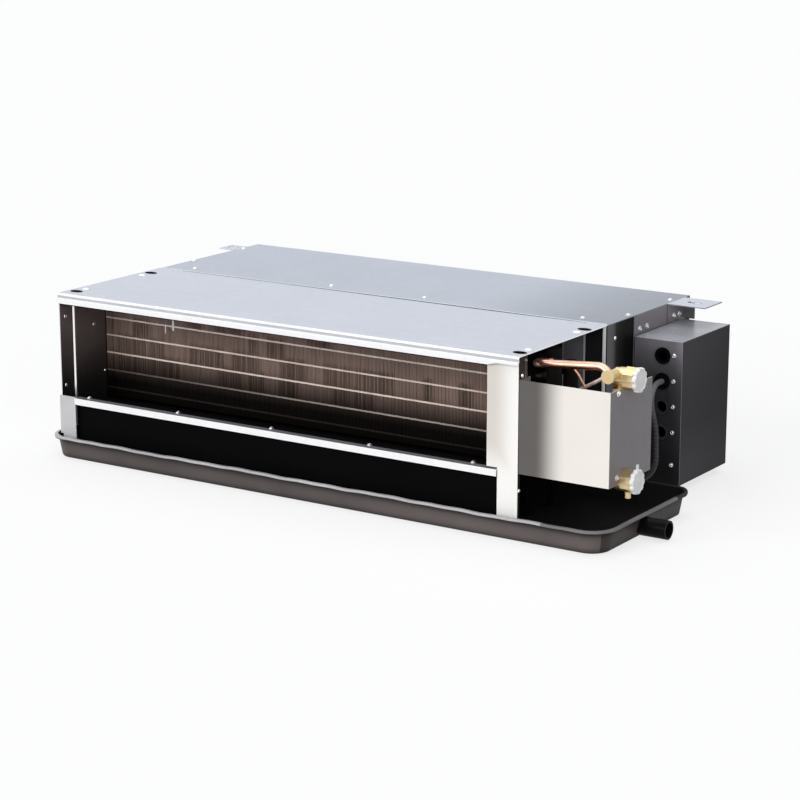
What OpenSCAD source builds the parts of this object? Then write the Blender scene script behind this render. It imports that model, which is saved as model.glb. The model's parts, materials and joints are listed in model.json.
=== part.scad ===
// Ceiling-concealed fan coil unit, millimetres, +Z up.
// The air outlet faces -Y and the water connections are on the +X end.
// Sizes are laid out from the front left corner of the casing and row() shifts them to the row's frame.

/* [Casing] */
// Casing width, left edge to right edge of the top sheets
body_w = 730; // [600:5:900]
// Casing depth, front lip to return frame
body_d = 460; // [430:5:520]
// Height of the top sheets above the pan's underside
body_h = 230; // [225:1:260]
// Depth of the front top sheet, up to the seam over the fan deck
seam_y = 224; // [215:1:240]
// Thickness of the galvanised sheet
sheet = 1; // [0.7:0.1:1.5]
// Height of the folded lip over the air outlet
lip_h = 15; // [12:1:24]
// Step of the lip's lower band in front of the upper one
lip_step = 1.5; // [1:0.25:3]
// Gap between the two top sheets
seam_gap = 0.6; // [0.3:0.1:1.5]

/* [Air outlet] */
// Width of the right front post
post_w = 45; // [30:1:60]
// Width of the lower part of the right front post
post_low_w = 29.5; // [20:0.5:40]
// Width of the left front post
post_left_w = 27.5; // [20:0.5:40]
// Height of the discharge strip's top above the pan's underside
strip_z = 85; // [78:1:92]
// Height of the discharge strip's front face
strip_h = 9; // [6:0.5:14]
// Depth of the discharge strip's flat flange
strip_d = 27; // [20:1:35]
// Height of the outlet floor in front of the coil
floor_z = 69; // [60:1:74]

/* [Drain pan] */
// Reach of the pan's rim past the right end of the casing
pan_right = 129; // [110:1:150]
// Reach of the pan's rim past the left end of the casing
pan_left = 21; // [6:0.5:28]
// Reach of the pan's rim in front of the lip
pan_front = 15; // [10:1:25]
// Height of the pan's rim
pan_h = 31.5; // [26:0.5:40]
// Slope of the pan's walls, inset of the floor from the rim
pan_taper = 10.5; // [7:0.5:14]
// Radius of the rim's corners
pan_corner = 36; // [25:1:50]
// Radius of the rim's two corners under the fan deck
pan_corner_rear = 20; // [18:1:40]
// Width and height of the rolled rim
pan_lip = 5; // [3:0.5:7]
// Thickness of the pan
pan_t = 1.5; // [1:0.1:2.5]
// Outside radius of the drain spigot
spigot_r = 12; // [9:0.5:12]
// Wall of the drain spigot
spigot_wall = 2.5; // [1.5:0.25:3]
// Reach of the drain spigot past the pan's rim
spigot_out = 29; // [20:1:45]
// Distance of the drain spigot behind the lip
spigot_y = 100; // [70:1:150]

/* [Coil] */
// Distance from one tube to the next one above it
tube_pitch = 25; // [24:0.5:26]
// Distance from one tube row to the row behind it
row_pitch = 22; // [19:0.5:24]
// Number of tubes in each row
tubes_high = 6; // [4:2:6]
// Number of tube rows
tube_rows = 3; // [3:1:3]
// Outside radius of the copper tubes
tube_r = 4.76; // [3.5:0.01:5]
// Wall of the copper tubes
tube_wall = 0.5; // [0.3:0.05:1]
// Distance between the modelled fins
fin_pitch = 22; // [4:1:40]
// Thickness of a fin
fin_t = 0.3; // [0.1:0.05:0.6]
// Distance of the coil's front face behind the lip
coil_y = 92; // [80:1:100]
// Distance of the coil's left end plate from the casing's left edge
coil_left = 18; // [17.5:0.5:30]
// Distance of the coil's right end plate from the casing's right edge
coil_right = 39; // [36:0.5:60]
// Radius of the water headers
header_r = 9.5; // [8:0.1:11]
// Radius of the two connecting pipes
pipe_r = 5.2; // [5:0.05:8]
// Bend radius of the connecting pipes
pipe_bend = 20; // [14:1:30]

/* [Water connections] */
// Length of the piping bracket along the casing
bracket_w = 126; // [110:1:140]
// Depth of the piping bracket
bracket_d = 106; // [90:1:130]
// Height of the bracket's lower edge
bracket_z = 83; // [70:1:90]
// Height of the bracket
bracket_h = 118; // [100:1:125]
// Distance of the upper union's axis below the top sheets
union_drop = 17.5; // [16:0.5:25]
// Height of the lower union's axis
union_low_z = 87; // [80:0.5:95]
// Distance of the unions behind the lip
union_y = 40; // [30:1:50]
// Radius of the union's outside thread
thread_r = 13.2; // [10:0.1:14]
// Radius of the union's water way
bore_r = 9; // [6:0.1:10]
// Width across the corners of the union's hexagon
hex_w = 30; // [29:0.5:36]
// Outside radius of the dust caps
cap_r = 15.5; // [15:0.5:18]
// Length of the dust caps
cap_len = 5.6; // [4:0.2:16]
// Gap between a dust cap and the thread under it
cap_gap = 0.3; // [0.1:0.05:0.5]
// Radius of the air vent's knob
vent_r = 8.5; // [6:0.25:10]
// Height of the air vent above the upper union's axis
vent_rise = 7; // [0:0.5:8]
// Radius of the air vent's stem
stem_r = 3; // [2:0.1:4]
// Running gap around the air vent's stem
stem_gap = 0.05; // [0.01:0.01:0.1]

/* [Fan] */
// Outside radius of the fan wheels
wheel_r = 75; // [65:1:78]
// Inside radius of the blade ring
wheel_in = 62; // [55:0.5:66]
// Number of blades on a wheel
blades = 36; // [24:1:48]
// Thickness of a blade
blade_t = 0.9; // [0.6:0.1:1.5]
// Width of a scroll housing
scroll_w = 200; // [150:2:210]
// Smallest radius of the scroll, at its tongue
scroll_r0 = 81; // [80:0.5:84]
// Growth of the scroll's radius from its tongue to its top
scroll_grow = 27; // [20:0.5:27]
// Wall of the scroll housings
scroll_t = 1.2; // [0.8:0.1:2]
// Distance from the middle of the casing to the middle of each scroll
scroll_off = 190; // [180:1:195]
// Distance of the fan's axis behind the lip
fan_y = 332; // [325:1:335]
// Height of the fan's axis
fan_z = 114; // [112:0.5:116]
// Radius of the fan shaft
shaft_r = 6; // [5:0.5:8]
// Running gap between the shaft and its bearings
shaft_gap = 0.03; // [0.01:0.01:0.1]
// Radius of the motor
motor_r = 52; // [45:1:56]
// Length of the motor between its end bosses
motor_len = 96; // [80:2:104]
// Radius of the motor's end bosses
boss_r = 18; // [16:0.5:22]
// Half the depth of the motor's cradle
cradle_half = 34; // [30:1:40]

/* [Filter] */
// Thickness of the filter's frame
filter_t = 9; // [6:0.5:10]
// Width of the filter frame's bars
filter_bar = 14; // [10:1:20]
// Running gap around the filter in its rails
filter_gap = 0.5; // [0.3:0.1:1]
// Height of the rails' lips
rail_h = 11; // [8:1:13]

/* [Control box] */
// Width of the control box, away from the casing
box_w = 69; // [55:1:85]
// Depth of the control box along the casing
box_d = 138; // [115:1:140]
// Distance of the box's top below the top sheets
box_drop = 27; // [20:0.5:60]
// Height of the box's underside
box_z = 10.5; // [5:0.5:20]
// Distance of the box's front behind the lip
box_y = 294; // [285:1:305]
// Gap between the casing's side and the box
box_gap = 4; // [3:0.5:8]
// Radius of the cable holes
hole_r = 10; // [8:0.25:11]
// Distance between the cable holes
hole_pitch = 34; // [28:0.5:36]
// Radius of the motor cable
cable_r = 4; // [3:0.25:4.5]
// Length of the terminal block
term_len = 84; // [60:1:100]
// Width of the terminal block
term_w = 22; // [18:1:26]
// Distance of the terminal block above the box's underside
term_up = 60; // [40:1:70]
// Distance of the terminal block behind the box's front
term_back = 40; // [34:1:46]
// Width of the capacitor
cond_w = 36; // [30:1:44]
// Height of the capacitor
cond_h = 58; // [40:1:70]

/* [Hanging] */
// Width of the right hanging ear
ear_right = 56; // [40:1:70]
// Width of the left hanging ear
ear_left = 30; // [26:1:45]
// Depth of the right hanging ear
ear_d = 52; // [40:1:60]
// Depth of the left hanging ear
ear_left_d = 32; // [26:1:50]
// Distance of the ears' slots in front of the return frame's face
ear_back = 42; // [35:1:50]
// Thickness of the hanging ears
ear_t = 1.5; // [1.2:0.1:3]
// Half width of the hanging slots
slot_r = 4.5; // [3.5:0.1:6]
// Length of the hanging slots
slot_len = 20; // [16:1:22]
// Half width of the oblong holes in the front top sheet
lift_r = 3.2; // [2:0.1:4]
// Length of the oblong holes in the front top sheet
lift_len = 13; // [10:0.5:16]

/* [Fasteners] */
// Radius of the screws' shanks
screw_r = 2; // [1.5:0.1:2.5]
// Radius of the screws' heads
head_r = 4; // [3:0.1:5]
// Height of the screws' heads
head_h = 2.2; // [1.5:0.1:3]
// Length of the screws' shanks
shank = 5; // [3:0.5:8]
// Gap between a shank and its hole
screw_gap = 0.1; // [0.05:0.05:0.3]

/* [Hidden] */
$fn = 48;
top_z = body_h - sheet;
left_x = -2;
side_in = left_x + sheet;
deck_y = seam_y;
deck_back = deck_y + sheet;
return_y = body_d - sheet;
union_up_z = body_h - union_drop;
ear_y = body_d - ear_back;
box_h = body_h - box_drop - box_z;
post_y = 4;
post_x = body_w - 1.5;
post_left_x = post_x - post_w;
post_low_x = post_x - post_low_w;
strip_left = post_left_w - 5;
strip_back = 2.5 + strip_d;
pan_x0 = -pan_left;
pan_x1 = body_w + pan_right;
pan_y0 = -pan_front;
pan_y1 = deck_y - 0.2;
spigot_x1 = pan_x1 + spigot_out;
spigot_z = spigot_r + 1.5;
spigot_x0 = pan_x1 - pan_taper - 3;
coil_z0 = body_h - 9.5 - tubes_high * tube_pitch;
coil_h = tubes_high * tube_pitch;
coil_d = tube_rows * row_pitch;
coil_x0 = coil_left;
coil_x1 = body_w - coil_right;
fin_x0 = coil_x0 + sheet;
fin_x1 = coil_x1 - sheet;
header_x = coil_x1 + 30;
row_first_y = coil_y + row_pitch / 2;
row_last_y = coil_y + (tube_rows - 0.5) * row_pitch;
tube_low_z = coil_z0 + tube_pitch / 2;
bracket_x0 = post_x;
bracket_x1 = bracket_x0 + bracket_w;
bracket_y = 5;
hex_x = bracket_x1 + head_h + 0.2;
hex_t = 13.4;
thread_x1 = hex_x + hex_t + cap_len - 3;
cap_x0 = hex_x + hex_t + 0.4;
cap_x1 = cap_x0 + cap_len;
union_x0 = bracket_x1 - 12;
vent_x = bracket_x1 - 6;
vent_y = union_y - 26;
vent_z = union_up_z + vent_rise;
plug_x = hex_x + 4.5;
plug_r = 3.8;
bolt_y = union_y - 17;
scroll_top = fan_z + scroll_r0 + scroll_grow;
tongue_a = 170;
tongue_z = fan_z + scroll_r0 * sin(tongue_a);
wheel_w = scroll_w - 2 * scroll_t - 14;
mid_x = body_w / 2;
boss_len = 14;
bearing_r = 14;
shaft_x0 = mid_x - scroll_off - wheel_w / 2 + 30;
shaft_x1 = mid_x + scroll_off + wheel_w / 2 - 30;
mount_r = boss_r + 6;
cradle_x = motor_len / 2 + 3;
filter_y0 = body_d - sheet - 13 + filter_gap + 1;
filter_y1 = filter_y0 + filter_t;
filter_x0 = 2;
filter_x1 = body_w - sheet - 2;
filter_z0 = sheet * 2 + filter_gap;
filter_z1 = top_z - sheet - filter_gap;
box_x = body_w + box_gap;
box_x1 = box_x + box_w;
box_y1 = box_y + box_d;
box_z1 = box_z + box_h;
hole_x = box_x + 42;
hole_top = box_z1 - 20;
cable_hole_y = deck_y + 26;
cable_hole_z = 24;
ear_right_x = body_w + ear_right / 2;
ear_left_x = -ear_left / 2;
seam_screw_x = [46, body_w * 0.39, body_w * 0.6, body_w - 48];
seam_screw_y = seam_y + 22;
edge_screw_y = [seam_y + 70, body_d - 46];
lift_y = [24, seam_y - 38];
lift_x = [13, body_w - 12];
strip_screws = 5;
row_cx = (max(spigot_x1, cap_x1, box_x1 + sheet, body_w + ear_right) - ear_left) / 2;
row_cy = (body_d - pan_front) / 2;

// Shifts from the casing's corner to the middle of the footprint
module row() {
  translate([-row_cx, -row_cy, 0]) children();
}

// A plain box between two corners
module block(a, b) {
  translate(a) cube(b - a);
}

// A cylinder along +X from x0 to x1
module xcyl(x0, x1, y, z, r) {
  translate([x0, y, z]) rotate([0, 90, 0]) cylinder(h = x1 - x0, r = r);
}

// A cylinder along +Y from y0 to y1
module ycyl(y0, y1, x, z, r) {
  translate([x, y0, z]) rotate([-90, 0, 0]) cylinder(h = y1 - y0, r = r);
}

// An upright cylinder from z0 to z1
module zcyl(z0, z1, x, y, r) {
  translate([x, y, z0]) cylinder(h = z1 - z0, r = r);
}

// An upright oblong cut, long along X
module oblong(z0, z1, x, y, r, len) {
  zcyl(z0, z1, x - len / 2 + r, y, r);
  zcyl(z0, z1, x + len / 2 - r, y, r);
  block([x - len / 2 + r, y - r, z0], [x + len / 2 - r, y + r, z1]);
}

// A screw that points down -Z with its head above the origin
module screw() {
  cylinder(h = head_h * 0.55, r = head_r);
  translate([0, 0, head_h * 0.55]) cylinder(h = head_h * 0.45, r1 = head_r, r2 = head_r * 0.7);
  translate([0, 0, -shank]) cylinder(h = shank + 0.1, r = screw_r);
}

function unit(v) = v / norm(v);
function turn(p, i) = acos(min(1, max(-1, unit(p[i] - p[i - 1]) * unit(p[i + 1] - p[i]))));
function trim(p, i, bend) = bend * tan(turn(p, i) / 2);

// Points along a route, with round bends at its corners
function arc_points(p, i, bend, steps) =
  let (
    d = unit(p[i] - p[i - 1]),
    n = unit(cross(d, p[i + 1] - p[i])),
    m = cross(n, d),
    c = p[i] - d * trim(p, i, bend) + m * bend,
    w = turn(p, i)
  )
  [for (s = [0 : steps]) c - m * bend * cos(w * s / steps) + d * bend * sin(w * s / steps)];
function route_points(p, bend, steps) = concat(
  [p[0]], [for (i = [1 : len(p) - 2]) each arc_points(p, i, bend, steps)], [p[len(p) - 1]]
);
function heading(q, i) = i == 0 ? unit(q[1] - q[0])
  : i == len(q) - 1 ? unit(q[i] - q[i - 1])
  : unit(unit(q[i] - q[i - 1]) + unit(q[i + 1] - q[i]));

// A rod of n flat sides that follows a route
module rod_run(p, r, bend, n) {
  q = route_points(p, bend, 5);
  m = len(q);
  rim = [for (i = [0 : m - 1])
    let (d = heading(q, i), u = unit(cross(d, [1, 0.31, 0.53])), v = cross(d, u))
      each [for (k = [0 : n - 1]) q[i] + r * (u * cos(360 * k / n) + v * sin(360 * k / n))]];
  wall = [for (i = [0 : m - 2]) for (k = [0 : n - 1])
    let (a = i * n + k, b = i * n + (k + 1) % n) each [[a, b + n, b], [a, a + n, b + n]]];
  polyhedron(rim, concat(
    wall, [[for (k = [0 : n - 1]) k]], [[for (k = [n - 1 : -1 : 0]) (m - 1) * n + k]]
  ));
}

// Casing

module lift_holes() {
  for (x = lift_x) {
    for (y = lift_y) oblong(top_z - 1, body_h + 1, x, y, lift_r, lift_len);
  }
}

module top_panel_front() {
  color([0.8, 0.82, 0.87]) difference() {
    union() {
      block([left_x, lip_step, top_z], [body_w, seam_y, body_h]);
      block([left_x, lip_step, body_h - lip_h / 2], [body_w, lip_step + sheet, top_z]);
      block([left_x, 0, body_h - lip_h], [body_w, sheet, body_h - lip_h / 2 + sheet]);
      block([left_x, 0, body_h - lip_h / 2], [body_w, lip_step + sheet, body_h - lip_h / 2 + sheet]);
      block([left_x + 14, seam_y - sheet, top_z - 14], [body_w - 4, seam_y, top_z]);
    }
    lift_holes();
  }
}

module top_panel_rear() {
  color([0.8, 0.82, 0.87]) difference() {
    block([0, seam_y + seam_gap, top_z], [body_w, body_d, body_h]);
    top_holes();
  }
}

module top_holes() {
  for (x = seam_screw_x) zcyl(top_z - 8, body_h + 1, x, seam_screw_y, screw_r + screw_gap);
  for (y = edge_screw_y) {
    for (x = [7, body_w - 7]) zcyl(top_z - 8, body_h + 1, x, y, screw_r + screw_gap);
  }
}

module side_panel_left() {
  color([0.62, 0.64, 0.68]) union() {
    block([left_x, post_y + sheet, pan_h + 0.5], [side_in, deck_y, top_z]);
    block([left_x, post_y + sheet, top_z - sheet], [left_x + 8, deck_y - sheet, top_z]);
  }
}

module liner_left() {
  color([0.12, 0.12, 0.13]) union() {
    block([5, 30, pan_h + 6], [6, coil_y - 1, body_h - lip_h]);
    block([side_in, 29, pan_h + 6], [6, 30, body_h - lip_h]);
  }
}

module post_left() {
  b = pan_corner - pan_taper - pan_t - 0.5;
  foot_x = max(strip_left - post_left_w,
    pan_x0 + pan_corner - sqrt(max(1, b * b - pow(pan_y0 + pan_corner - post_y + 1, 2))));
  color([0.8, 0.8, 0.81]) union() {
    block([strip_left - post_left_w, post_y - 1, pan_h + 0.5], [strip_left, post_y - 1 + sheet, strip_z + 1]);
    block([foot_x, post_y - 1, pan_t], [strip_left, post_y - 1 + sheet, pan_h + 1]);
    block([side_in, post_y - 1, pan_h + 0.5], [side_in + sheet, 28, top_z - sheet]);
  }
}

module post_right() {
  color([0.86, 0.84, 0.81]) union() {
    block([post_left_x, post_y, strip_z + 2], [post_x, post_y + sheet, top_z]);
    block([post_low_x, post_y, pan_t], [post_x, post_y + sheet, strip_z + 3]);
    block([post_x - sheet, post_y, pan_t], [post_x, post_y + 5, top_z]);
    block([post_x - sheet, post_y, bracket_z], [post_x, post_y + 14, top_z]);
    block([post_left_x, post_y, strip_z + 2], [post_left_x + sheet, post_y + 14, top_z]);
  }
}

module discharge_strip() {
  color([0.84, 0.84, 0.85]) difference() {
    union() {
      block([strip_left, 1.5, strip_z - strip_h], [post_low_x, 2.5, strip_z]);
      block([strip_left, 1.5, strip_z - sheet], [post_low_x, strip_back, strip_z]);
    }
    strip_holes();
  }
}

function strip_screw_x(i) = 40 + i * (post_low_x - 80) / (strip_screws - 1);

module strip_holes() {
  for (i = [0 : strip_screws - 1]) {
    zcyl(strip_z - 9, strip_z + 1, strip_screw_x(i), 13, screw_r + screw_gap);
  }
}

module front_lower_panel() {
  color([0.06, 0.06, 0.065]) difference() {
    union() {
      block([strip_left, 9, 10], [post_low_x, 10, strip_z - sheet]);
      block([strip_left, 9, strip_z - 2 * sheet], [post_low_x, 22, strip_z - sheet]);
      block([strip_left, 9, floor_z - sheet], [post_left_x, coil_y - 4, floor_z]);
    }
    strip_holes();
  }
}

// Half profile of the pan's wall, x outward from the centre of a corner of radius r
module pan_wall(r) {
  b = r - pan_taper;
  w = r - pan_lip;
  polygon([
    [b, 0], [w, pan_h - pan_lip], [r, pan_h - pan_lip], [r, pan_h], [w - pan_t, pan_h], [b - pan_t, pan_t],
    [b - 4, pan_t], [b - 4, 0]
  ]);
}

module pan_side(x, y, len, turn_a) {
  translate([x, y, 0]) rotate([0, 0, turn_a]) rotate([90, 0, 0]) linear_extrude(len) pan_wall(pan_corner);
}

module drain_pan() {
  c = pan_corner;
  e = pan_corner_rear;
  lx = pan_x1 - pan_x0;
  ly = pan_y1 - pan_y0 - c - e;
  in = pan_taper + 2;
  color([0.2, 0.18, 0.18]) difference() {
    union() {
      for (q = [[pan_x1 - e, pan_y1 - e, 0, e], [pan_x0 + e, pan_y1 - e, 90, e],
                [pan_x0 + c, pan_y0 + c, 180, c], [pan_x1 - c, pan_y0 + c, 270, c]]) {
        translate([q[0], q[1], 0]) rotate([0, 0, q[2]]) rotate_extrude(angle = 90) pan_wall(q[3]);
        zcyl(0, pan_t, q[0], q[1], q[3] - in);
      }
      pan_side(pan_x1 - c, pan_y1 - e, ly, 0);
      pan_side(pan_x0 + e, pan_y1 - c, lx - 2 * e, 90);
      pan_side(pan_x0 + c, pan_y0 + c, ly, 180);
      pan_side(pan_x1 - c, pan_y0 + c, lx - 2 * c, 270);
      block([pan_x0 + c, pan_y0 + in, 0], [pan_x1 - c, pan_y0 + c, pan_t]);
      block([pan_x0 + in, pan_y0 + c, 0], [pan_x1 - in, pan_y1 - e, pan_t]);
      block([pan_x0 + e, pan_y1 - e, 0], [pan_x1 - e, pan_y1 - in, pan_t]);
    }
    xcyl(spigot_x0 - 12, pan_x1 + 1, spigot_y, spigot_z, spigot_r + 0.05);
  }
}

module drain_spigot() {
  color([0.1, 0.1, 0.1]) difference() {
    xcyl(spigot_x0 - 3, spigot_x1, spigot_y, spigot_z, spigot_r);
    xcyl(spigot_x0 - 4, spigot_x1 + 1, spigot_y, spigot_z, spigot_r - spigot_wall);
  }
}

module piping_bracket() {
  z1 = bracket_z + bracket_h;
  y1 = bracket_y + bracket_d;
  color([0.72, 0.71, 0.7]) difference() {
    union() {
      block([bracket_x0, bracket_y, bracket_z], [bracket_x1, bracket_y + sheet, z1]);
      block([bracket_x1 - sheet, bracket_y, bracket_z], [bracket_x1, y1, z1]);
      block([bracket_x0, bracket_y, bracket_z], [bracket_x0 + sheet, bracket_y + 26, z1]);
    }
    xcyl(bracket_x1 - 2, bracket_x1 + 1, union_y, union_up_z, thread_r + 0.5);
    xcyl(bracket_x1 - 2, bracket_x1 + 1, union_y, union_low_z, thread_r + 0.5);
    for (z = [union_up_z, union_low_z]) bolt_cut(z, screw_r + screw_gap);
  }
}

function bolt_z(z) = z > 150 ? z - 15 : z + 6;

module bolt_cut(z, r) {
  xcyl(bracket_x1 - 8, bracket_x1 + 1, bolt_y, bolt_z(z), r);
}

// Fan plenum

module fan_deck() {
  color([0.16, 0.16, 0.17]) difference() {
    union() {
      block([0, deck_y, 0], [body_w, deck_back, top_z]);
      block([16, deck_y, top_z - sheet], [body_w - 16, deck_y + 36, top_z]);
      block([body_w - 3, deck_y - 3, pan_h + 2], [body_w - 2, deck_y, top_z]);
    }
    for (s = [-1, 1]) {
      x = mid_x + s * scroll_off;
      block([x - scroll_w / 2 + scroll_t, deck_y - 1, tongue_z],
            [x + scroll_w / 2 - scroll_t, deck_back + 1, scroll_top]);
    }
    top_holes();
  }
}

module plenum_side(x0, x1, fx0, fx1) {
  difference() {
    union() {
      block([x0, deck_back, sheet], [x1, return_y, top_z]);
      block([fx0, deck_back, top_z - sheet], [fx1, filter_y0 - 2, top_z]);
    }
    top_holes();
    hanger_holes();
  }
}

module plenum_left() {
  color([0.7, 0.72, 0.76]) difference() {
    plenum_side(0, sheet, 0, 15);
    block([-1, filter_y0 - filter_gap, filter_z0 - filter_gap],
          [sheet + 1, filter_y1 + filter_gap, filter_z1 + filter_gap]);
  }
}

module plenum_right() {
  color([0.16, 0.16, 0.17]) difference() {
    plenum_side(body_w - sheet, body_w, body_w - 15, body_w);
    xcyl(body_w - 3, body_w + 1, cable_hole_y, cable_hole_z, cable_r + 0.3);
  }
}

module plenum_bottom() {
  color([0.7, 0.72, 0.76]) block([0, deck_back, 0], [body_w, return_y, sheet]);
}

module return_frame() {
  color([0.7, 0.72, 0.76]) difference() {
    block([0, return_y, 0], [body_w, body_d, top_z]);
    block([22, return_y - 1, 18], [body_w - 22, body_d + 1, top_z - 17]);
  }
}

module rail(z0, z1, lip0, lip1) {
  y0 = filter_y0 - filter_gap;
  y1 = filter_y1 + filter_gap;
  block([sheet, y0 - sheet, z0], [body_w - sheet, y1 + sheet, z1]);
  block([sheet, y0 - sheet, lip0], [body_w - sheet, y0, lip1]);
  block([sheet, y1, lip0], [body_w - sheet, y1 + sheet, lip1]);
}

module filter_rails() {
  color([0.75, 0.77, 0.8]) union() {
    rail(sheet, 2 * sheet, sheet, sheet + rail_h);
    rail(top_z - sheet, top_z, top_z - rail_h, top_z);
  }
}

module filter_frame() {
  color([0.2, 0.2, 0.22]) union() {
    difference() {
      block([filter_x0, filter_y0, filter_z0], [filter_x1, filter_y1, filter_z1]);
      block([filter_x0 + filter_bar, filter_y0 - 1, filter_z0 + filter_bar],
            [filter_x1 - filter_bar, filter_y1 + 1, filter_z1 - filter_bar]);
    }
    for (i = [1 : 3]) {
      x = filter_x0 + i * (filter_x1 - filter_x0) / 4;
      block([x - 2, filter_y0, filter_z0 + filter_bar - 1], [x + 2, filter_y0 + 3, filter_z1 - filter_bar + 1]);
    }
    block([filter_x0 - 14, filter_y0 + 3, body_h / 2 - 20], [filter_x0 + 1, filter_y0 + 6, body_h / 2 + 20]);
  }
}

module filter_mesh() {
  color([0.5, 0.52, 0.55]) block([filter_x0 + filter_bar, filter_y0 + 3, filter_z0 + filter_bar],
                                [filter_x1 - filter_bar, filter_y0 + 4.2, filter_z1 - filter_bar]);
}

module hanger_right() {
  y0 = ear_y - ear_d / 2;
  y1 = ear_y + ear_d / 2;
  color([0.82, 0.83, 0.86]) difference() {
    union() {
      block([body_w, y0, body_h - ear_t], [body_w + ear_right, y1, body_h]);
      block([body_w, y0, body_h - 38], [body_w + ear_t, y1, body_h]);
      block([body_w, y1 - ear_t, body_h - 28], [body_w + 16, y1, body_h]);
    }
    oblong(body_h - 3, body_h + 1, ear_right_x, ear_y, slot_r, slot_len);
    hanger_holes();
  }
}

module hanger_left() {
  y0 = ear_y - ear_left_d / 2;
  y1 = ear_y + ear_left_d / 2;
  color([0.82, 0.83, 0.86]) difference() {
    union() {
      block([-ear_left, y0, body_h - ear_t], [0, y1, body_h]);
      block([-ear_t, y0, body_h - 38], [0, y1, body_h]);
    }
    oblong(body_h - 3, body_h + 1, ear_left_x, ear_y, slot_r, slot_len);
    hanger_holes();
  }
}

module hanger_holes() {
  for (y = [ear_y - 9, ear_y + 7]) {
    xcyl(-9, 9, y, body_h - 19, screw_r + screw_gap);
    xcyl(body_w - 9, body_w + 9, y, body_h - 19, screw_r + screw_gap);
  }
  for (y = [box_y + 18, box_y + 38]) xcyl(body_w - 9, body_w + 9, y, body_h - 20, screw_r + screw_gap);
}

// Coil

module tube_circles(r) {
  for (j = [0 : tube_rows - 1]) {
    for (k = [0 : tubes_high - 1]) {
      translate([row_first_y + j * row_pitch, tube_low_z + k * tube_pitch]) circle(r);
    }
  }
}

// Stands a flat YZ outline up and gives it a thickness along +X
module upright(x, t) {
  translate([x, 0, 0]) rotate([90, 0, 90]) linear_extrude(t) children();
}

module coil_fins() {
  n = floor((fin_x1 - fin_x0 - 4) / fin_pitch);
  start = (fin_x0 + fin_x1 - n * fin_pitch) / 2;
  color([0.55, 0.5, 0.48]) for (i = [0 : n]) {
    upright(start + i * fin_pitch, fin_t) difference() {
      translate([coil_y, coil_z0]) square([coil_d, coil_h]);
      tube_circles(tube_r + 0.02);
    }
  }
}

module coil_tubes() {
  color([0.76, 0.5, 0.4]) upright(coil_x0 - 1, coil_x1 - coil_x0 + 2) difference() {
    tube_circles(tube_r);
    tube_circles(tube_r - tube_wall);
  }
}

// A half ring of tube from one tube end to its neighbour, bulging along +X
module bend(x, ya, za, yb, zb, out) {
  d = norm([yb - ya, zb - za]) / 2;
  tilt = atan2(zb - za, yb - ya);
  translate([x, (ya + yb) / 2, (za + zb) / 2]) rotate([tilt, 0, 0]) rotate([0, 0, out > 0 ? -90 : 90]) {
    rotate_extrude(angle = 180) translate([d, 0]) difference() {
      circle(tube_r);
      circle(tube_r - tube_wall);
    }
  }
}

function tube_y(j) = row_first_y + j * row_pitch;
function tube_z(k) = tube_low_z + k * tube_pitch;

module return_bends() {
  color([0.76, 0.5, 0.4]) union() {
    for (j = [0 : tube_rows - 1]) {
      for (k = [0 : 2 : tubes_high - 2]) bend(coil_x0 - 1, tube_y(j), tube_z(k), tube_y(j), tube_z(k + 1), -1);
    }
    for (k = [0 : 2 : tubes_high - 2]) {
      bend(coil_x1 + 1, tube_y(0), tube_z(k), tube_y(1), tube_z(k), 1);
      bend(coil_x1 + 1, tube_y(1), tube_z(k + 1), tube_y(2), tube_z(k + 1), 1);
    }
  }
}

module end_plate(x, foot) {
  upright(x, sheet) difference() {
    union() {
      translate([coil_y, coil_z0 - 4]) square([coil_d, top_z - coil_z0 + 4]);
      for (y = [coil_y, coil_y + coil_d - 14]) translate([y, pan_t]) square([14, coil_z0]);
    }
    tube_circles(tube_r + 0.02);
  }
}

module end_plate_left() {
  color([0.6, 0.61, 0.64]) union() {
    end_plate(coil_x0);
    block([6.5, coil_y + 4, coil_z0 - 4], [coil_x0 + sheet, coil_y + 4 + sheet, top_z]);
  }
}

module end_plate_right() {
  color([0.2, 0.2, 0.21]) union() {
    end_plate(coil_x1 - sheet);
    block([coil_x1 - sheet, coil_y - sheet, coil_z0 - 4], [coil_x1 + 10, coil_y, top_z]);
  }
}

module header(y, ks, out) {
  z0 = tube_z(ks[0]) - 16;
  z1 = tube_z(ks[len(ks) - 1]) + 14;
  difference() {
    union() {
      zcyl(z0, z1, header_x, y, header_r);
      for (k = ks) xcyl(coil_x1 + 1, header_x, y, tube_z(k), tube_r);
    }
    zcyl(z0 + 1, z1 - 1, header_x, y, header_r - 1);
    for (k = ks) xcyl(coil_x1, header_x, y, tube_z(k), tube_r - tube_wall);
    translate([header_x, y, out[2]]) rotate([0, 0, out[0]]) xcyl(0, header_r + 1, 0, 0, pipe_r + 0.05);
  }
}

module header_supply() {
  color([0.74, 0.48, 0.38]) header(row_last_y, [for (k = [0 : 2 : tubes_high - 2]) k], [0, 0, supply_z]);
}

module header_return() {
  color([0.74, 0.48, 0.38]) difference() {
    header(row_first_y, [for (k = [1 : 2 : tubes_high - 1]) k], [-90, 0, return_z]);
    xcyl(header_x, header_x + header_r + 1, row_first_y, bleed_z, bleed_r + 0.05);
  }
}

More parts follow.
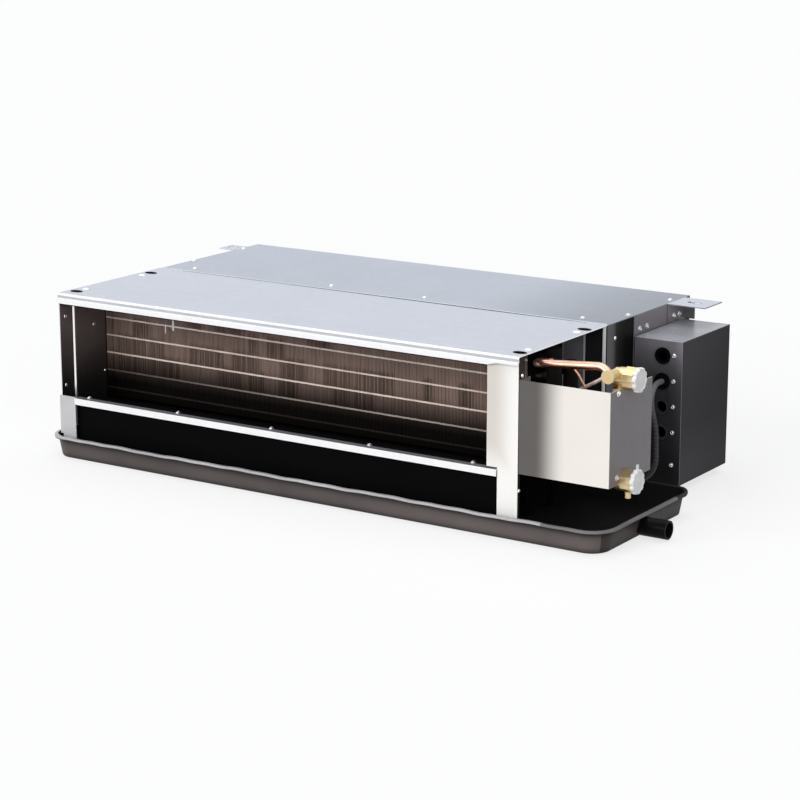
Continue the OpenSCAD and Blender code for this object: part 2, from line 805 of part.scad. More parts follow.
supply_z = tube_low_z + 4;
return_z = tube_low_z + (tubes_high - 1) * tube_pitch;
bleed_z = union_up_z - 44;
bleed_r = 2.2;
upper_route = [
  [header_x, row_first_y - header_r + 1.6, return_z], [header_x, row_first_y - 20, return_z],
  [header_x, union_y + 8, return_z + 5],
  [union_x0 - 20, union_y + 4, union_up_z + 9.5], [union_x0 - 8, union_y, union_up_z],
  [union_x0, union_y, union_up_z]
];
lower_route = [
  [header_x + header_r - 1.6, row_last_y, supply_z], [header_x + 34, row_last_y, supply_z],
  [bracket_x1 - 62, union_y, union_low_z], [union_x0, union_y, union_low_z]
];

module pipe_upper() {
  color([0.78, 0.52, 0.42]) rod_run(upper_route, pipe_r, pipe_bend, 16);
}

module pipe_lower() {
  color([0.78, 0.52, 0.42]) rod_run(lower_route, pipe_r, pipe_bend, 16);
}

module union_piece(z) {
  difference() {
    union() {
      xcyl(union_x0, bracket_x1 - 6, union_y, z, thread_r - 1);
      xcyl(bracket_x1 - 6, thread_x1, union_y, z, thread_r);
      translate([hex_x, union_y, z]) rotate([0, 90, 0]) cylinder(h = hex_t, r = hex_w / 2, $fn = 6);
      block([bracket_x1 - 5, bolt_y - 5, bolt_z(z) - 5], [bracket_x1 - sheet, union_y, bolt_z(z) + 5]);
    }
    xcyl(union_x0 + 4, thread_x1 + 1, union_y, z, bore_r);
    bolt_cut(z, screw_r + screw_gap);
  }
}

module union_upper() {
  color([0.85, 0.75, 0.5]) difference() {
    union_piece(union_up_z);
    ycyl(vent_y - 20, union_y - 3, vent_x, vent_z, 4);
  }
}

module union_lower() {
  color([0.85, 0.75, 0.5]) difference() {
    union_piece(union_low_z);
    zcyl(union_low_z - 30, union_low_z, plug_x, union_y, 2);
    zcyl(union_low_z - 30, union_low_z - thread_r - 0.8, plug_x, union_y, plug_r + 0.05);
  }
}

module drain_plug() {
  color([0.82, 0.72, 0.48]) union() {
    zcyl(union_low_z - hex_w / 2 - 7, union_low_z - thread_r - 0.8, plug_x, union_y, plug_r);
    zcyl(union_low_z - thread_r - 1, union_low_z - bore_r - 1, plug_x, union_y, 1.95);
  }
}

// A dust cap with a scalloped rim and a closed end
module cap(z) {
  difference() {
    xcyl(cap_x0, cap_x1, union_y, z, cap_r);
    xcyl(cap_x0 - 1, cap_x1 - 2.4, union_y, z, thread_r + cap_gap);
    for (i = [0 : 9]) {
      a = 36 * i;
      xcyl(cap_x0 - 1, cap_x1 + 1, union_y + (cap_r + 2.2) * cos(a), z + (cap_r + 2.2) * sin(a), 3.2);
    }
  }
}

module cap_upper() {
  color([0.95, 0.95, 0.94]) cap(union_up_z);
}

module cap_lower() {
  color([0.95, 0.95, 0.94]) cap(union_low_z);
}

module vent_body() {
  color([0.84, 0.73, 0.47]) difference() {
    union() {
      ycyl(vent_y - 4, union_y - thread_r, vent_x, vent_z, 6.5);
      ycyl(vent_y - 4, union_y - bore_r - 1, vent_x, vent_z, 3.95);
    }
    ycyl(vent_y - 5, vent_y + 5, vent_x, vent_z, stem_r + stem_gap);
  }
}

module vent_knob() {
  color([0.9, 0.8, 0.55]) union() {
    ycyl(vent_y - 8.4, vent_y - 4.4, vent_x, vent_z, vent_r);
    ycyl(vent_y - 5, vent_y + 4.5, vent_x, vent_z, stem_r);
  }
}

bleed_route = [
  [vent_x - 7.2, vent_y - 1, vent_z - 2.2], [vent_x - 24, vent_y + 6, vent_z - 12],
  [vent_x - 60, union_y + 18, union_up_z - 24], [header_x + header_r + 20, row_first_y, bleed_z],
  [header_x + header_r - 0.6, row_first_y, bleed_z]
];

module bleed_tube() {
  color([0.8, 0.58, 0.48]) rod_run(bleed_route, bleed_r, 9, 10);
}

// Fan

function scroll_radius(a) = scroll_r0 + scroll_grow * (a - tongue_a) / (450 - tongue_a);
function spiral(add) = [for (a = [tongue_a : 10 : 450]) (scroll_radius(a) + add) * [cos(a), sin(a)]];
function mouth(y, zt, zb) = [[y, zt], [y, zb]];

module scroll_outline(add, y) {
  polygon(concat(spiral(add), mouth(y - fan_y, scroll_top - fan_z + add, tongue_z - fan_z - add)));
}

module scroll(x) {
  difference() {
    union() {
      translate([0, fan_y, fan_z]) upright(x - scroll_w / 2, scroll_w) scroll_outline(scroll_t, deck_back);
      for (s = [-1, 1]) {
        xcyl(x + s * (scroll_w / 2 + 3) - 3.5, x + s * (scroll_w / 2 + 3) + 3.5, fan_y, fan_z, wheel_in + 1.5);
      }
    }
    translate([0, fan_y, fan_z]) upright(x - scroll_w / 2 + scroll_t, scroll_w - 2 * scroll_t) {
      scroll_outline(0, deck_y - 5);
    }
    xcyl(x - scroll_w, x + scroll_w, fan_y, fan_z, wheel_in);
  }
}

module scroll_left() {
  color([0.72, 0.74, 0.77]) scroll(mid_x - scroll_off);
}

module scroll_right() {
  color([0.72, 0.74, 0.77]) scroll(mid_x + scroll_off);
}

// One forward-curved blade, leaning with the spin towards its outer edge
function blade_angle(f) = 11 * f * f - 2 * f;
function blade_edge(s) = [for (i = [0 : 5])
  let (f = i / 5, r = wheel_in + 0.5 + f * (wheel_r - 1 - wheel_in), a = blade_angle(f) + s * blade_t * 28.6 / r)
    r * [cos(a), sin(a)]];

module blade() {
  e = blade_edge(-1);
  polygon(concat(blade_edge(1), [for (i = [5 : -1 : 0]) e[i]]));
}

module wheel(x) {
  translate([0, fan_y, fan_z]) difference() {
    union() {
      upright(x - wheel_w / 2, wheel_w) for (i = [0 : blades - 1]) rotate(i * 360 / blades) blade();
      for (s = [-1, 1]) upright(x + s * (wheel_w / 2 - 2.5) - 2.5, 5) difference() {
        circle(wheel_r + 0.5);
        circle(wheel_r - 5);
      }
      xcyl(x - 1.5, x + 1.5, 0, 0, wheel_r);
      xcyl(x - 14, x + 14, 0, 0, 15);
    }
    xcyl(x - 20, x + 20, 0, 0, shaft_r);
  }
}

module wheel_left() {
  color([0.35, 0.36, 0.38]) wheel(mid_x - scroll_off);
}

module wheel_right() {
  color([0.35, 0.36, 0.38]) wheel(mid_x + scroll_off);
}

module fan_shaft() {
  color([0.6, 0.6, 0.62]) xcyl(shaft_x0, shaft_x1, fan_y, fan_z, shaft_r);
}

module motor_shell() {
  h = motor_len / 2;
  color([0.5, 0.51, 0.53]) difference() {
    union() {
      xcyl(mid_x - h + 12, mid_x + h - 12, fan_y, fan_z, motor_r);
      xcyl(mid_x - h, mid_x + h, fan_y, fan_z, motor_r - 5);
      xcyl(mid_x - h - boss_len, mid_x + h + boss_len, fan_y, fan_z, boss_r);
    }
    xcyl(mid_x - h - boss_len - 1, mid_x + h + boss_len + 1, fan_y, fan_z, shaft_r + 1.5);
    zcyl(fan_z - motor_r, fan_z - 19.5, mid_x + 20, fan_y - 42, cable_r + 0.1);
    for (s = [-1, 1]) {
      xcyl(mid_x + s * (h + boss_len - 4.5) - 5, mid_x + s * (h + boss_len - 4.5) + 5, fan_y, fan_z, bearing_r);
    }
  }
}

module motor_bearings() {
  h = motor_len / 2 + boss_len - 5;
  color([0.65, 0.66, 0.68]) for (s = [-1, 1]) difference() {
    xcyl(mid_x + s * h - 4, mid_x + s * h + 4, fan_y, fan_z, bearing_r - 0.02);
    xcyl(mid_x + s * h - 5, mid_x + s * h + 5, fan_y, fan_z, shaft_r + shaft_gap);
  }
}

module motor_mounts() {
  color([0.08, 0.08, 0.08]) for (s = [-1, 1]) difference() {
    xcyl(mid_x + s * (cradle_x + 3) - 5, mid_x + s * (cradle_x + 3) + 5, fan_y, fan_z, mount_r);
    xcyl(mid_x + s * (cradle_x + 3) - 6, mid_x + s * (cradle_x + 3) + 6, fan_y, fan_z, boss_r + 0.02);
  }
}

module motor_cradle() {
  color([0.74, 0.76, 0.79]) difference() {
    union() {
      block([mid_x - cradle_x - 4.5, fan_y - cradle_half, sheet], [mid_x + cradle_x + 4.5, fan_y + cradle_half, sheet + 2]);
      for (s = [-1, 1]) {
        x = mid_x + s * (cradle_x + 3);
        block([x - 1.5, fan_y - cradle_half, sheet], [x + 1.5, fan_y + cradle_half, fan_z]);
        xcyl(x - 1.5, x + 1.5, fan_y, fan_z, cradle_half);
      }
    }
    for (s = [-1, 1]) {
      x = mid_x + s * (cradle_x + 3);
      xcyl(x - 4, x + 4, fan_y, fan_z, mount_r + 0.02);
    }
  }
}

// Control box

module box_holes(r) {
  for (i = [0 : 3]) ycyl(box_y - 3, box_y + 4, hole_x, hole_top - i * hole_pitch, r);
}

function box_screw_z(i) = i < 4 ? hole_top + 1 - i * hole_pitch : box_z + 28;

module box_base() {
  color([0.24, 0.24, 0.26]) difference() {
    block([box_x, box_y, box_z], [box_x1, box_y1, box_z1]);
    block([box_x + sheet, box_y + sheet, box_z + sheet], [box_x1 + 1, box_y1 - sheet, box_z1 - sheet]);
    box_holes(hole_r);
    box_screw_holes();
  }
}

module box_screw_holes() {
  for (i = [0 : 4]) ycyl(box_y - 4, box_y + 8, box_x1 - 11, box_screw_z(i), screw_r + screw_gap);
}

module box_cover() {
  color([0.25, 0.25, 0.27]) difference() {
    union() {
      block([box_x1, box_y - sheet, box_z], [box_x1 + sheet, box_y1 + sheet, box_z1]);
      block([box_x1 - 19, box_y - sheet, box_z], [box_x1 + sheet, box_y, box_z1]);
      block([box_x1 - 19, box_y1, box_z], [box_x1 + sheet, box_y1 + sheet, box_z1]);
    }
    box_holes(hole_r);
    box_screw_holes();
  }
}

module box_plate() {
  color([0.62, 0.64, 0.68]) difference() {
    union() {
      block([body_w, box_y + 3, box_z + 20], [body_w + sheet, ear_y - ear_d / 2 - 2, top_z]);
      for (y = [box_y + 6, ear_y - ear_d / 2 - 16]) {
        block([body_w, y, box_z + 20], [box_x, y + 8, box_z1 - 10]);
      }
    }
    hanger_holes();
  }
}

module grommets() {
  color([0.05, 0.05, 0.05]) for (i = [0 : 3]) {
    z = hole_top - i * hole_pitch;
    difference() {
      union() {
        ycyl(box_y - 2 - sheet, box_y + 3, hole_x, z, hole_r - 0.05);
        ycyl(box_y - 2 - sheet, box_y - sheet, hole_x, z, hole_r + 1);
      }
      ycyl(box_y - 6, box_y + 5, hole_x, z, i == 1 ? cable_r : hole_r - 2.5);
    }
  }
}

module terminal_block() {
  y0 = box_y + term_back;
  z0 = box_z + term_up;
  step = term_len / 7;
  color([0.9, 0.9, 0.86]) difference() {
    block([box_x + sheet, y0, z0], [box_x + term_w, y0 + term_w, z0 + term_len]);
    for (i = [0 : 6]) for (y = [y0 + term_w * 0.27, y0 + term_w * 0.73]) {
      xcyl(box_x + term_w / 2, box_x + term_w + 1, y, z0 + (i + 0.5) * step, 2.5);
    }
  }
}

module capacitor() {
  y0 = box_y + term_back + term_w + 20;
  z0 = box_z + term_up + 10;
  color([0.85, 0.85, 0.82]) union() {
    block([box_x + sheet, y0, z0], [box_x + sheet + cond_w * 0.72, y0 + cond_w, z0 + cond_h]);
    for (s = [0.28, 0.72]) {
      block([box_x + 10, y0 + cond_w * s - 3, z0 + cond_h - 1], [box_x + 11, y0 + cond_w * s + 3, z0 + cond_h + 10]);
    }
  }
}

cable_x = box_x1 - 11;
cable_route = [
  [hole_x, box_y + 34, hole_top - hole_pitch], [hole_x, cable_hole_y + 2, hole_top - hole_pitch],
  [cable_x - 2, cable_hole_y, hole_top - hole_pitch - 54], [cable_x, cable_hole_y, cable_hole_z],
  [body_w - 40, cable_hole_y, cable_hole_z], [body_w - 84, deck_y + 14, 8], [mid_x + 66, deck_y + 14, 8],
  [mid_x + 20, fan_y - 42, 8], [mid_x + 20, fan_y - 42, fan_z - 20]
];

module motor_cable() {
  color([0.3, 0.3, 0.31]) rod_run(cable_route, cable_r, 8 * cable_r, 12);
}

// Fasteners

module top_screws() {
  color([0.85, 0.86, 0.88]) union() {
    for (x = seam_screw_x) translate([x, seam_screw_y, body_h]) screw();
    for (y = edge_screw_y) {
      for (x = [7, body_w - 7]) translate([x, y, body_h]) screw();
    }
  }
}

module front_screws() {
  color([0.85, 0.86, 0.88]) for (i = [0 : strip_screws - 1]) {
    translate([strip_screw_x(i), 13, strip_z]) screw();
  }
}

module bracket_bolts() {
  color([0.9, 0.9, 0.9]) for (z = [union_up_z, union_low_z]) {
    translate([bracket_x1, bolt_y, bolt_z(z)]) rotate([0, 90, 0]) screw();
  }
}

module box_screws() {
  color([0.8, 0.8, 0.82]) union() {
    for (i = [0 : 4]) translate([box_x1 - 11, box_y - sheet, box_screw_z(i)]) rotate([90, 0, 0]) screw();
  }
}

module hanger_screws() {
  color([0.85, 0.86, 0.88]) union() {
    for (y = [ear_y - 9, ear_y + 7]) {
      translate([body_w + ear_t, y, body_h - 19]) rotate([0, 90, 0]) screw();
      translate([-ear_t, y, body_h - 19]) rotate([0, -90, 0]) screw();
    }
    for (y = [box_y + 18, box_y + 38]) {
      translate([body_w + sheet, y, body_h - 20]) rotate([0, 90, 0]) screw();
    }
  }
}

row() top_panel_front();
row() top_panel_rear();
row() side_panel_left();
row() liner_left();
row() post_left();
row() post_right();
row() discharge_strip();
row() front_lower_panel();
row() drain_pan();
row() drain_spigot();
row() piping_bracket();
row() fan_deck();
row() plenum_left();
row() plenum_right();
row() plenum_bottom();
row() return_frame();
row() filter_rails();
row() filter_frame();
row() filter_mesh();
row() hanger_left();
row() hanger_right();
row() coil_fins();
row() coil_tubes();
row() return_bends();
row() end_plate_left();
row() end_plate_right();
row() header_supply();
row() header_return();
row() pipe_upper();
row() pipe_lower();
row() union_upper();
row() union_lower();
row() cap_upper();
row() cap_lower();
row() vent_body();
row() vent_knob();
row() bleed_tube();
row() drain_plug();
row() scroll_left();
row() scroll_right();
row() wheel_left();
row() wheel_right();
row() fan_shaft();
row() motor_shell();
row() motor_bearings();
row() motor_mounts();
row() motor_cradle();
row() box_base();
row() box_cover();
row() box_plate();
row() grommets();
row() terminal_block();
row() capacitor();
row() motor_cable();
row() top_screws();
row() front_screws();
row() bracket_bolts();
row() box_screws();
row() hanger_screws();
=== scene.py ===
import json
import math
import random

import bmesh
import bpy
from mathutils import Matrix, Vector

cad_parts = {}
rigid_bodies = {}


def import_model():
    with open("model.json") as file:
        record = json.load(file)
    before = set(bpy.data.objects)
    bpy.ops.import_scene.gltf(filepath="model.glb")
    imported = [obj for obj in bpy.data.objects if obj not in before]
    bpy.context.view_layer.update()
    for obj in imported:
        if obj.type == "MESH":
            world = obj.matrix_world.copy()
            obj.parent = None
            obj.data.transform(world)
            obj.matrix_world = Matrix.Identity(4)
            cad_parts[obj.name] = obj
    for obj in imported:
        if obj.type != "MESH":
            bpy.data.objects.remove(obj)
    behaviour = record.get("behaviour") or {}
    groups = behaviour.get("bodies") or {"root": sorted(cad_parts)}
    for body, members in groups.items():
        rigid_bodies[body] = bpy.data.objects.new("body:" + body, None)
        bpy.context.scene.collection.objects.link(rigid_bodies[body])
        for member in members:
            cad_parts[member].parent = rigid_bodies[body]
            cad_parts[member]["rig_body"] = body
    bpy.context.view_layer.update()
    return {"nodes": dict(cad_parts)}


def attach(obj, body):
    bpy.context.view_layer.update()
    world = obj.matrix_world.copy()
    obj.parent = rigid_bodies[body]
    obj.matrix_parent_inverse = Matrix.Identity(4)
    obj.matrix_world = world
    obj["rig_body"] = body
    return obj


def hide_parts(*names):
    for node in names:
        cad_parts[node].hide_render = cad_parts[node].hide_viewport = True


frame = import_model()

NODES = frame["nodes"]

# Placement: part.scad lays the unit out in millimetres from the casing's front left corner
CORNER_X, CORNER_Y = 429.0, 222.5

# Planes of the casing, the discharge strip, the right post, the bracket and the control box
RIGHT_X, TOP_Z = 730.0, 230.0
STRIP_Z = 85
POST_X0, POST_X1, POST_Y = 683.5, 728.5, 4
BRACKET_X, BRACKET_Y = 854.5, 5
BOX_X, BOX_Y0, BOX_Y1 = 804, 293, 433

# Lift slots in the front top sheet, and the axis of each union
LIFT_X, LIFT_Y = (13.0, 718.0), (24.0, 186.0)
LIFT_SLOTS = [(x, y) for x in LIFT_X for y in LIFT_Y]
UNION_Y, UNION_LEVELS = 40.0, {"upper": 212.5, "lower": 87.0}

UP, FORWARD, LEFT, RIGHT = (0, 0, 1), (0, -1, 0), (-1, 0, 0), (1, 0, 0)


def place(x, y, z):
    """A point of the casing's corner frame, in millimetres, as a point of the row frame, in metres."""
    return Vector(((x - CORNER_X) / 1000, (y - CORNER_Y) / 1000, z / 1000))


# Camera

CAMERA_AT = (1.7337, -2.6718, 0.8692)
CAMERA_AZIMUTH, CAMERA_ELEVATION = 33.21, 13.72
LENS, SENSOR = 108.4, 36.0

camera_data = bpy.data.cameras.new("camera")
camera_data.lens = LENS
camera_data.sensor_width = SENSOR
camera_data.sensor_fit = "HORIZONTAL"
camera_data.clip_start = 0.05
camera = bpy.data.objects.new("camera", camera_data)
camera.location = CAMERA_AT
camera.rotation_euler = (math.radians(90 - CAMERA_ELEVATION), 0, math.radians(CAMERA_AZIMUTH))
bpy.context.scene.collection.objects.link(camera)
bpy.context.scene.camera = camera
bpy.context.scene.view_settings.view_transform = "Standard"

# Finishes: each is a material made of nodes

MATERIALS = {}


class Shader:
    """A Principled material whose colour, roughness and bump come from nodes."""

    def __init__(self, name):
        material = bpy.data.materials.new(name)
        material.use_nodes = True
        MATERIALS[name] = material
        self.tree = material.node_tree
        self.tree.nodes.clear()
        out = self.node("ShaderNodeOutputMaterial")
        self.surface = self.node("ShaderNodeBsdfPrincipled")
        self.link(self.surface.outputs[0], out.inputs[0])
        self.where = self.node("ShaderNodeTexCoord").outputs["Object"]
        self.normal = None

    def node(self, kind, **settings):
        made = self.tree.nodes.new(kind)
        for key, value in settings.items():
            setattr(made, key, value)
        return made

    def link(self, a, b):
        self.tree.links.new(a, b)

    def constants(self, **values):
        for key, value in values.items():
            self.surface.inputs[key.replace("_", " ")].default_value = value

    def feed(self, socket, output):
        self.link(output, self.surface.inputs[socket])

    def stretch(self, scale):
        mapping = self.node("ShaderNodeMapping")
        mapping.inputs["Scale"].default_value = scale
        self.link(self.where, mapping.inputs["Vector"])
        return mapping.outputs[0]

    def noise(self, scale, detail, rough=0.55, vector=None):
        made = self.node("ShaderNodeTexNoise")
        for key, value in (("Scale", scale), ("Detail", detail), ("Roughness", rough)):
            made.inputs[key].default_value = value
        self.link(vector or self.where, made.inputs["Vector"])
        return made.outputs["Fac"]

    def cells(self, scale, output):
        made = self.node("ShaderNodeTexVoronoi")
        made.inputs["Scale"].default_value = scale
        self.link(self.where, made.inputs["Vector"])
        return made.outputs[output]

    def ramp(self, fac, *stops):
        """A colour ramp; each stop is a place with a colour or a grey."""
        made = self.node("ShaderNodeValToRGB")
        ramp = made.color_ramp
        while len(ramp.elements) < len(stops):
            ramp.elements.new(0.5)
        for element, (at, colour) in zip(ramp.elements, stops):
            element.position = at
            element.color = (*colour, 1) if isinstance(colour, tuple) else (colour, colour, colour, 1)
        self.link(fac, made.inputs["Fac"])
        return made.outputs["Color"]

    def tint(self, fac, low, high):
        """From one tone to another over the middle of a noise."""
        return self.ramp(fac, (0.3, low), (0.7, high))

    def mix(self, fac, a, b, blend="MIX"):
        made = self.node("ShaderNodeMix", data_type="RGBA", blend_type=blend)
        for socket, value in ((made.inputs[0], fac), (made.inputs[6], a), (made.inputs[7], b)):
            if isinstance(value, bpy.types.NodeSocket):
                self.link(value, socket)
            elif isinstance(value, (int, float)):
                socket.default_value = value
            else:
                socket.default_value = (*value, 1)
        return made.outputs[2]

    def times(self, base, shade, amount=1.0):
        return self.mix(amount, base, shade, "MULTIPLY")

    def axis(self, name):
        split = self.node("ShaderNodeSeparateXYZ")
        self.link(self.where, split.inputs[0])
        return split.outputs[name]

    def span(self, axis, low, high, out_low=0.0, out_high=1.0):
        """A smooth step along an axis, in metres of the row frame."""
        made = self.node("ShaderNodeMapRange", interpolation_type="SMOOTHSTEP")
        for key, number in (("From Min", low), ("From Max", high), ("To Min", out_low), ("To Max", out_high)):
            made.inputs[key].default_value = number
        self.link(self.axis(axis), made.inputs["Value"])
        return made.outputs["Result"]

    def toned(self, base, tones):
        """Darkens a colour along axes; tones lists (axis, stops)."""
        for axis, stops in tones:
            base = self.times(base, self.ramp(self.axis(axis), *stops))
        return base

    def bump(self, height, strength, distance):
        """Adds a bump on top of those already there."""
        made = self.node("ShaderNodeBump")
        made.inputs["Strength"].default_value = strength
        made.inputs["Distance"].default_value = distance
        self.link(height, made.inputs["Height"])
        if self.normal is not None:
            self.link(self.normal, made.inputs["Normal"])
        self.normal = made.outputs["Normal"]
        self.feed("Normal", self.normal)

    def sheet_gloss(self, cloud, rough):
        """Roughness in clouds with the fine grain of rolled sheet."""
        fine = self.noise(420, 2)
        self.feed("Roughness", self.ramp(self.mix(0.5, cloud, fine), (0.35, rough[0]), (0.65, rough[1])))
        self.bump(fine, 0.03, 0.0002)


def zinc(name, low, high, metallic=0.05, rough=(0.38, 0.52), specular=0.5, painted_shade_along_x=None):
    """Galvanised sheet: faint spangle, rolling lines and cloudy gloss.

    The last argument darkens the sheet along X as painted shade: (from, to, 1, how much is left)."""
    s = Shader(name)
    cloud = s.noise(9, 4)
    rolled = s.noise(60, 3, vector=s.stretch((0.06, 1.0, 1.0)))
    base = s.times(s.tint(cloud, low, high), s.ramp(s.cells(170, "Color"), (0.2, 0.965), (0.8, 1.0)))
    base = s.times(base, s.ramp(rolled, (0.35, 0.93), (0.65, 1.0)), 0.25)
    # painted shade: the sheet darkens along X
    if painted_shade_along_x:
        base = s.times(base, s.span("X", *painted_shade_along_x))
    s.feed("Base Color", base)
    s.constants(Metallic=metallic, Specular_IOR_Level=specular)
    s.bump(rolled, 0.02, 0.0004)
    s.sheet_gloss(cloud, rough)


def paint(name, low, high, rough=(0.38, 0.55), specular=0.5, dust_tone=0.01, tones=()):
    """Powder coat: orange peel, cloudy gloss and paler dust; tones as in Shader.toned."""
    s = Shader(name)
    cloud = s.noise(14, 5)
    speck = s.ramp(s.noise(260, 6, 0.7), (0.62, 0.0), (0.8, 0.35))
    base = s.ramp(cloud, (0.32, low), (0.68, high))
    base = s.mix(speck, base, tuple(min(1.0, c * 1.9 + dust_tone) for c in high))
    s.feed("Base Color", s.toned(base, tones))
    s.feed("Roughness", s.tint(cloud, *rough))
    s.constants(Specular_IOR_Level=specular)
    s.bump(s.noise(900, 2), 0.08, 0.0004)


def metal(name, low, high, rough=(0.18, 0.34), scale=1.0, metallic=1.0):
    """Bare drawn or turned metal with patina clouds and tool lines."""
    s = Shader(name)
    cloud = s.noise(34 * scale, 5, 0.6)
    s.feed("Base Color", s.ramp(cloud, (0.3, low), (0.68, high)))
    s.feed("Roughness", s.tint(cloud, rough[1], rough[0]))
    s.constants(Metallic=metallic)
    s.bump(s.noise(700 * scale, 2, vector=s.stretch((0.08, 1, 1))), 0.05, 0.0002)


def plastic(name, low, high, rough=(0.32, 0.48), grain=0.05, subsurface=0.0, specular=0.5, tones=()):
    """Moulded plastic or rubber with fine grain; tones as in Shader.toned."""
    s = Shader(name)
    cloud = s.noise(40, 3)
    s.feed("Base Color", s.toned(s.tint(cloud, low, high), tones))
    s.feed("Roughness", s.tint(cloud, *rough))
    s.constants(Subsurface_Weight=subsurface, Subsurface_Scale=0.004, Specular_IOR_Level=specular)
    s.bump(s.noise(1400, 2), grain, 0.0002)


def foam(name, low, high):
    """Closed-cell insulation."""
    s = Shader(name)
    cells = s.cells(420, "Distance")
    s.feed("Base Color", s.tint(s.noise(30, 4), low, high))
    s.feed("Roughness", s.ramp(cells, (0.0, 0.95), (0.6, 0.75)))
    s.constants(Specular_IOR_Level=0.05)
    s.bump(cells, 0.35, 0.0008)


def fin_foil(name):
    """Aluminium foil fins with a brown coating: tarnish in upright streaks, and painted shade that makes them nearly
    black towards the bottom.
    """
    s = Shader(name)
    streak = s.noise(150, 4, 0.7, vector=s.stretch((1.0, 0.25, 0.03)))
    base = s.ramp(streak, (0.3, (0.25, 0.17, 0.14)), (0.55, (0.295, 0.208, 0.174)), (0.78, (0.36, 0.264, 0.22)))
    # painted shade: nearly black towards the bottom
    base = s.toned(base, [("Z", ((0.094, 0.012), (0.106, 0.09), (0.122, 0.4), (0.140, 0.9), (0.150, 1.0)))])
    base = s.times(base, s.ramp(s.noise(12, 4), (0.35, 0.7), (0.65, 1.0)), 0.4)
    s.feed("Base Color", base)
    s.feed("Roughness", s.tint(streak, 0.6, 0.4))
    s.constants(Metallic=0.05, Specular_IOR_Level=0.05)
    s.bump(streak, 0.1, 0.0003)


def tab_foil(name):
    """Spacer tabs of the fins: brighter folded foil that also stands as painted highlight lines, with painted shade
    lower down, darker towards the left and nearly black lowest.
    """
    s = Shader(name)
    fleck = s.noise(500, 3, vector=s.stretch((1, 0.3, 1)))
    base = s.tint(s.noise(60, 4, 0.6), (0.74, 0.62, 0.55), (0.95, 0.84, 0.77))
    painted_shade_by_x = s.span("X", -0.40, 0.10, 0.14, 0.5)
    painted_shade_low = s.mix(s.span("Z", 0.080, 0.102), (0.02, 0.018, 0.017), painted_shade_by_x)
    s.feed("Base Color", s.times(base, s.mix(s.span("Z", 0.110, 0.125), painted_shade_low, (1.0, 1.0, 1.0))))
    s.feed("Roughness", s.tint(fleck, 0.55, 0.38))
    s.constants(Metallic=0.15, Specular_IOR_Level=0.2)
    s.bump(fleck, 0.06, 0.0002)


def bracket_sheet(name):
    """Zinc sheet with painted shade: a dark brown-grey along the bracket's fixed edge."""
    s = Shader(name)
    cloud = s.noise(7, 3)
    bright = s.tint(cloud, (0.85, 0.80, 0.745), (0.89, 0.845, 0.79))
    painted_shade_tone = s.tint(cloud, (0.10, 0.092, 0.088), (0.125, 0.115, 0.11))
    s.feed("Base Color", s.mix(s.span("X", 0.322, 0.366), painted_shade_tone, bright))
    s.constants(Metallic=0.05, Specular_IOR_Level=0.3)
    s.sheet_gloss(cloud, (0.36, 0.48))


def post_sheet(name):
    """Bare zinc post with painted shade, warm and darker at its upper inner edge, and painted light, bright lower
    down and towards the corner.
    """
    s = Shader(name)
    cloud = s.noise(8, 3)
    warm = s.tint(cloud, (0.68, 0.63, 0.58), (0.73, 0.685, 0.635))
    bright = s.tint(cloud, (0.95, 0.93, 0.90), (0.97, 0.955, 0.93))
    painted_light_mask = s.mix(1.0, s.span("X", 0.262, 0.296), s.span("Z", 0.125, 0.075), "LIGHTEN")
    s.feed("Base Color", s.mix(painted_light_mask, warm, bright))
    s.constants(Metallic=0.05, Specular_IOR_Level=0.4)
    s.sheet_gloss(cloud, (0.4, 0.52))


def liner_coat(name):
    """Dark lining sheet, browner at its top and nearly black towards the bottom."""
    s = Shader(name)
    cloud = s.noise(20, 4)
    top = s.tint(cloud, (0.112, 0.086, 0.079), (0.144, 0.112, 0.104))
    foot = s.tint(cloud, (0.008, 0.007, 0.007), (0.013, 0.011, 0.011))
    s.feed("Base Color", s.mix(s.span("Z", 0.085, 0.20), foot, top))
    s.feed("Roughness", s.tint(cloud, 0.5, 0.65))
    s.constants(Specular_IOR_Level=0.08)
    s.bump(s.noise(800, 2), 0.08, 0.0003)


BOX_GLOSS, PAN_GLOSS, DULL_SHEET = (0.3, 0.42), (0.4, 0.55), (0.56, 0.68)
# Tone stops that darken the box's front and side as painted shade.
BOX_FRONT_PAINTED_SHADE = [("Z", ((0.02, 0.05), (0.06, 0.15), (0.130, 0.22), (0.150, 0.30), (0.170, 0.55), (0.196, 1.0))),
                   ("X", ((0.362, 0.62), (0.376, 1.0)))]
BOX_SIDE_PAINTED_SHADE = [("Z", ((0.03, 1.0), (0.09, 0.58), (0.14, 0.66), (0.19, 0.92))),
                  ("Y", ((0.075, 1.0), (0.21, 0.5)))]
# Pan wall stops: darker at the foot, just under the rim and towards the left, as painted shade.
PAN_WALL_PAINTED_SHADE = [("Z", ((0.0, 0.15), (0.0025, 0.4), (0.007, 0.9), (0.014, 1.0), (0.021, 0.75), (0.0245, 0.35),
                         (0.0265, 0.08))),
                  ("X", ((0.0, 0.72), (0.17, 1.0)))]
SIDE_TONES = [("Y", ((0.0, 1.0), (0.018, 0.9), (0.0275, 0.16), (0.040, 0.07), (0.052, 0.03)))]
# The conduit darkens downwards as painted shade.
CONDUIT_PAINTED_SHADE = [("Z", ((0.105, 0.3), (0.142, 1.0)))]

zinc("sheet_top", (0.60, 0.625, 0.69), (0.63, 0.655, 0.72), 0.08, DULL_SHEET, 0.25)
# The rear top sheet darkens towards its right end as painted shade.
zinc("sheet_rear", (0.49, 0.525, 0.59), (0.53, 0.565, 0.63), 0.08, DULL_SHEET, 0.25, painted_shade_along_x=(0.05, 0.30, 1.0, 0.66))
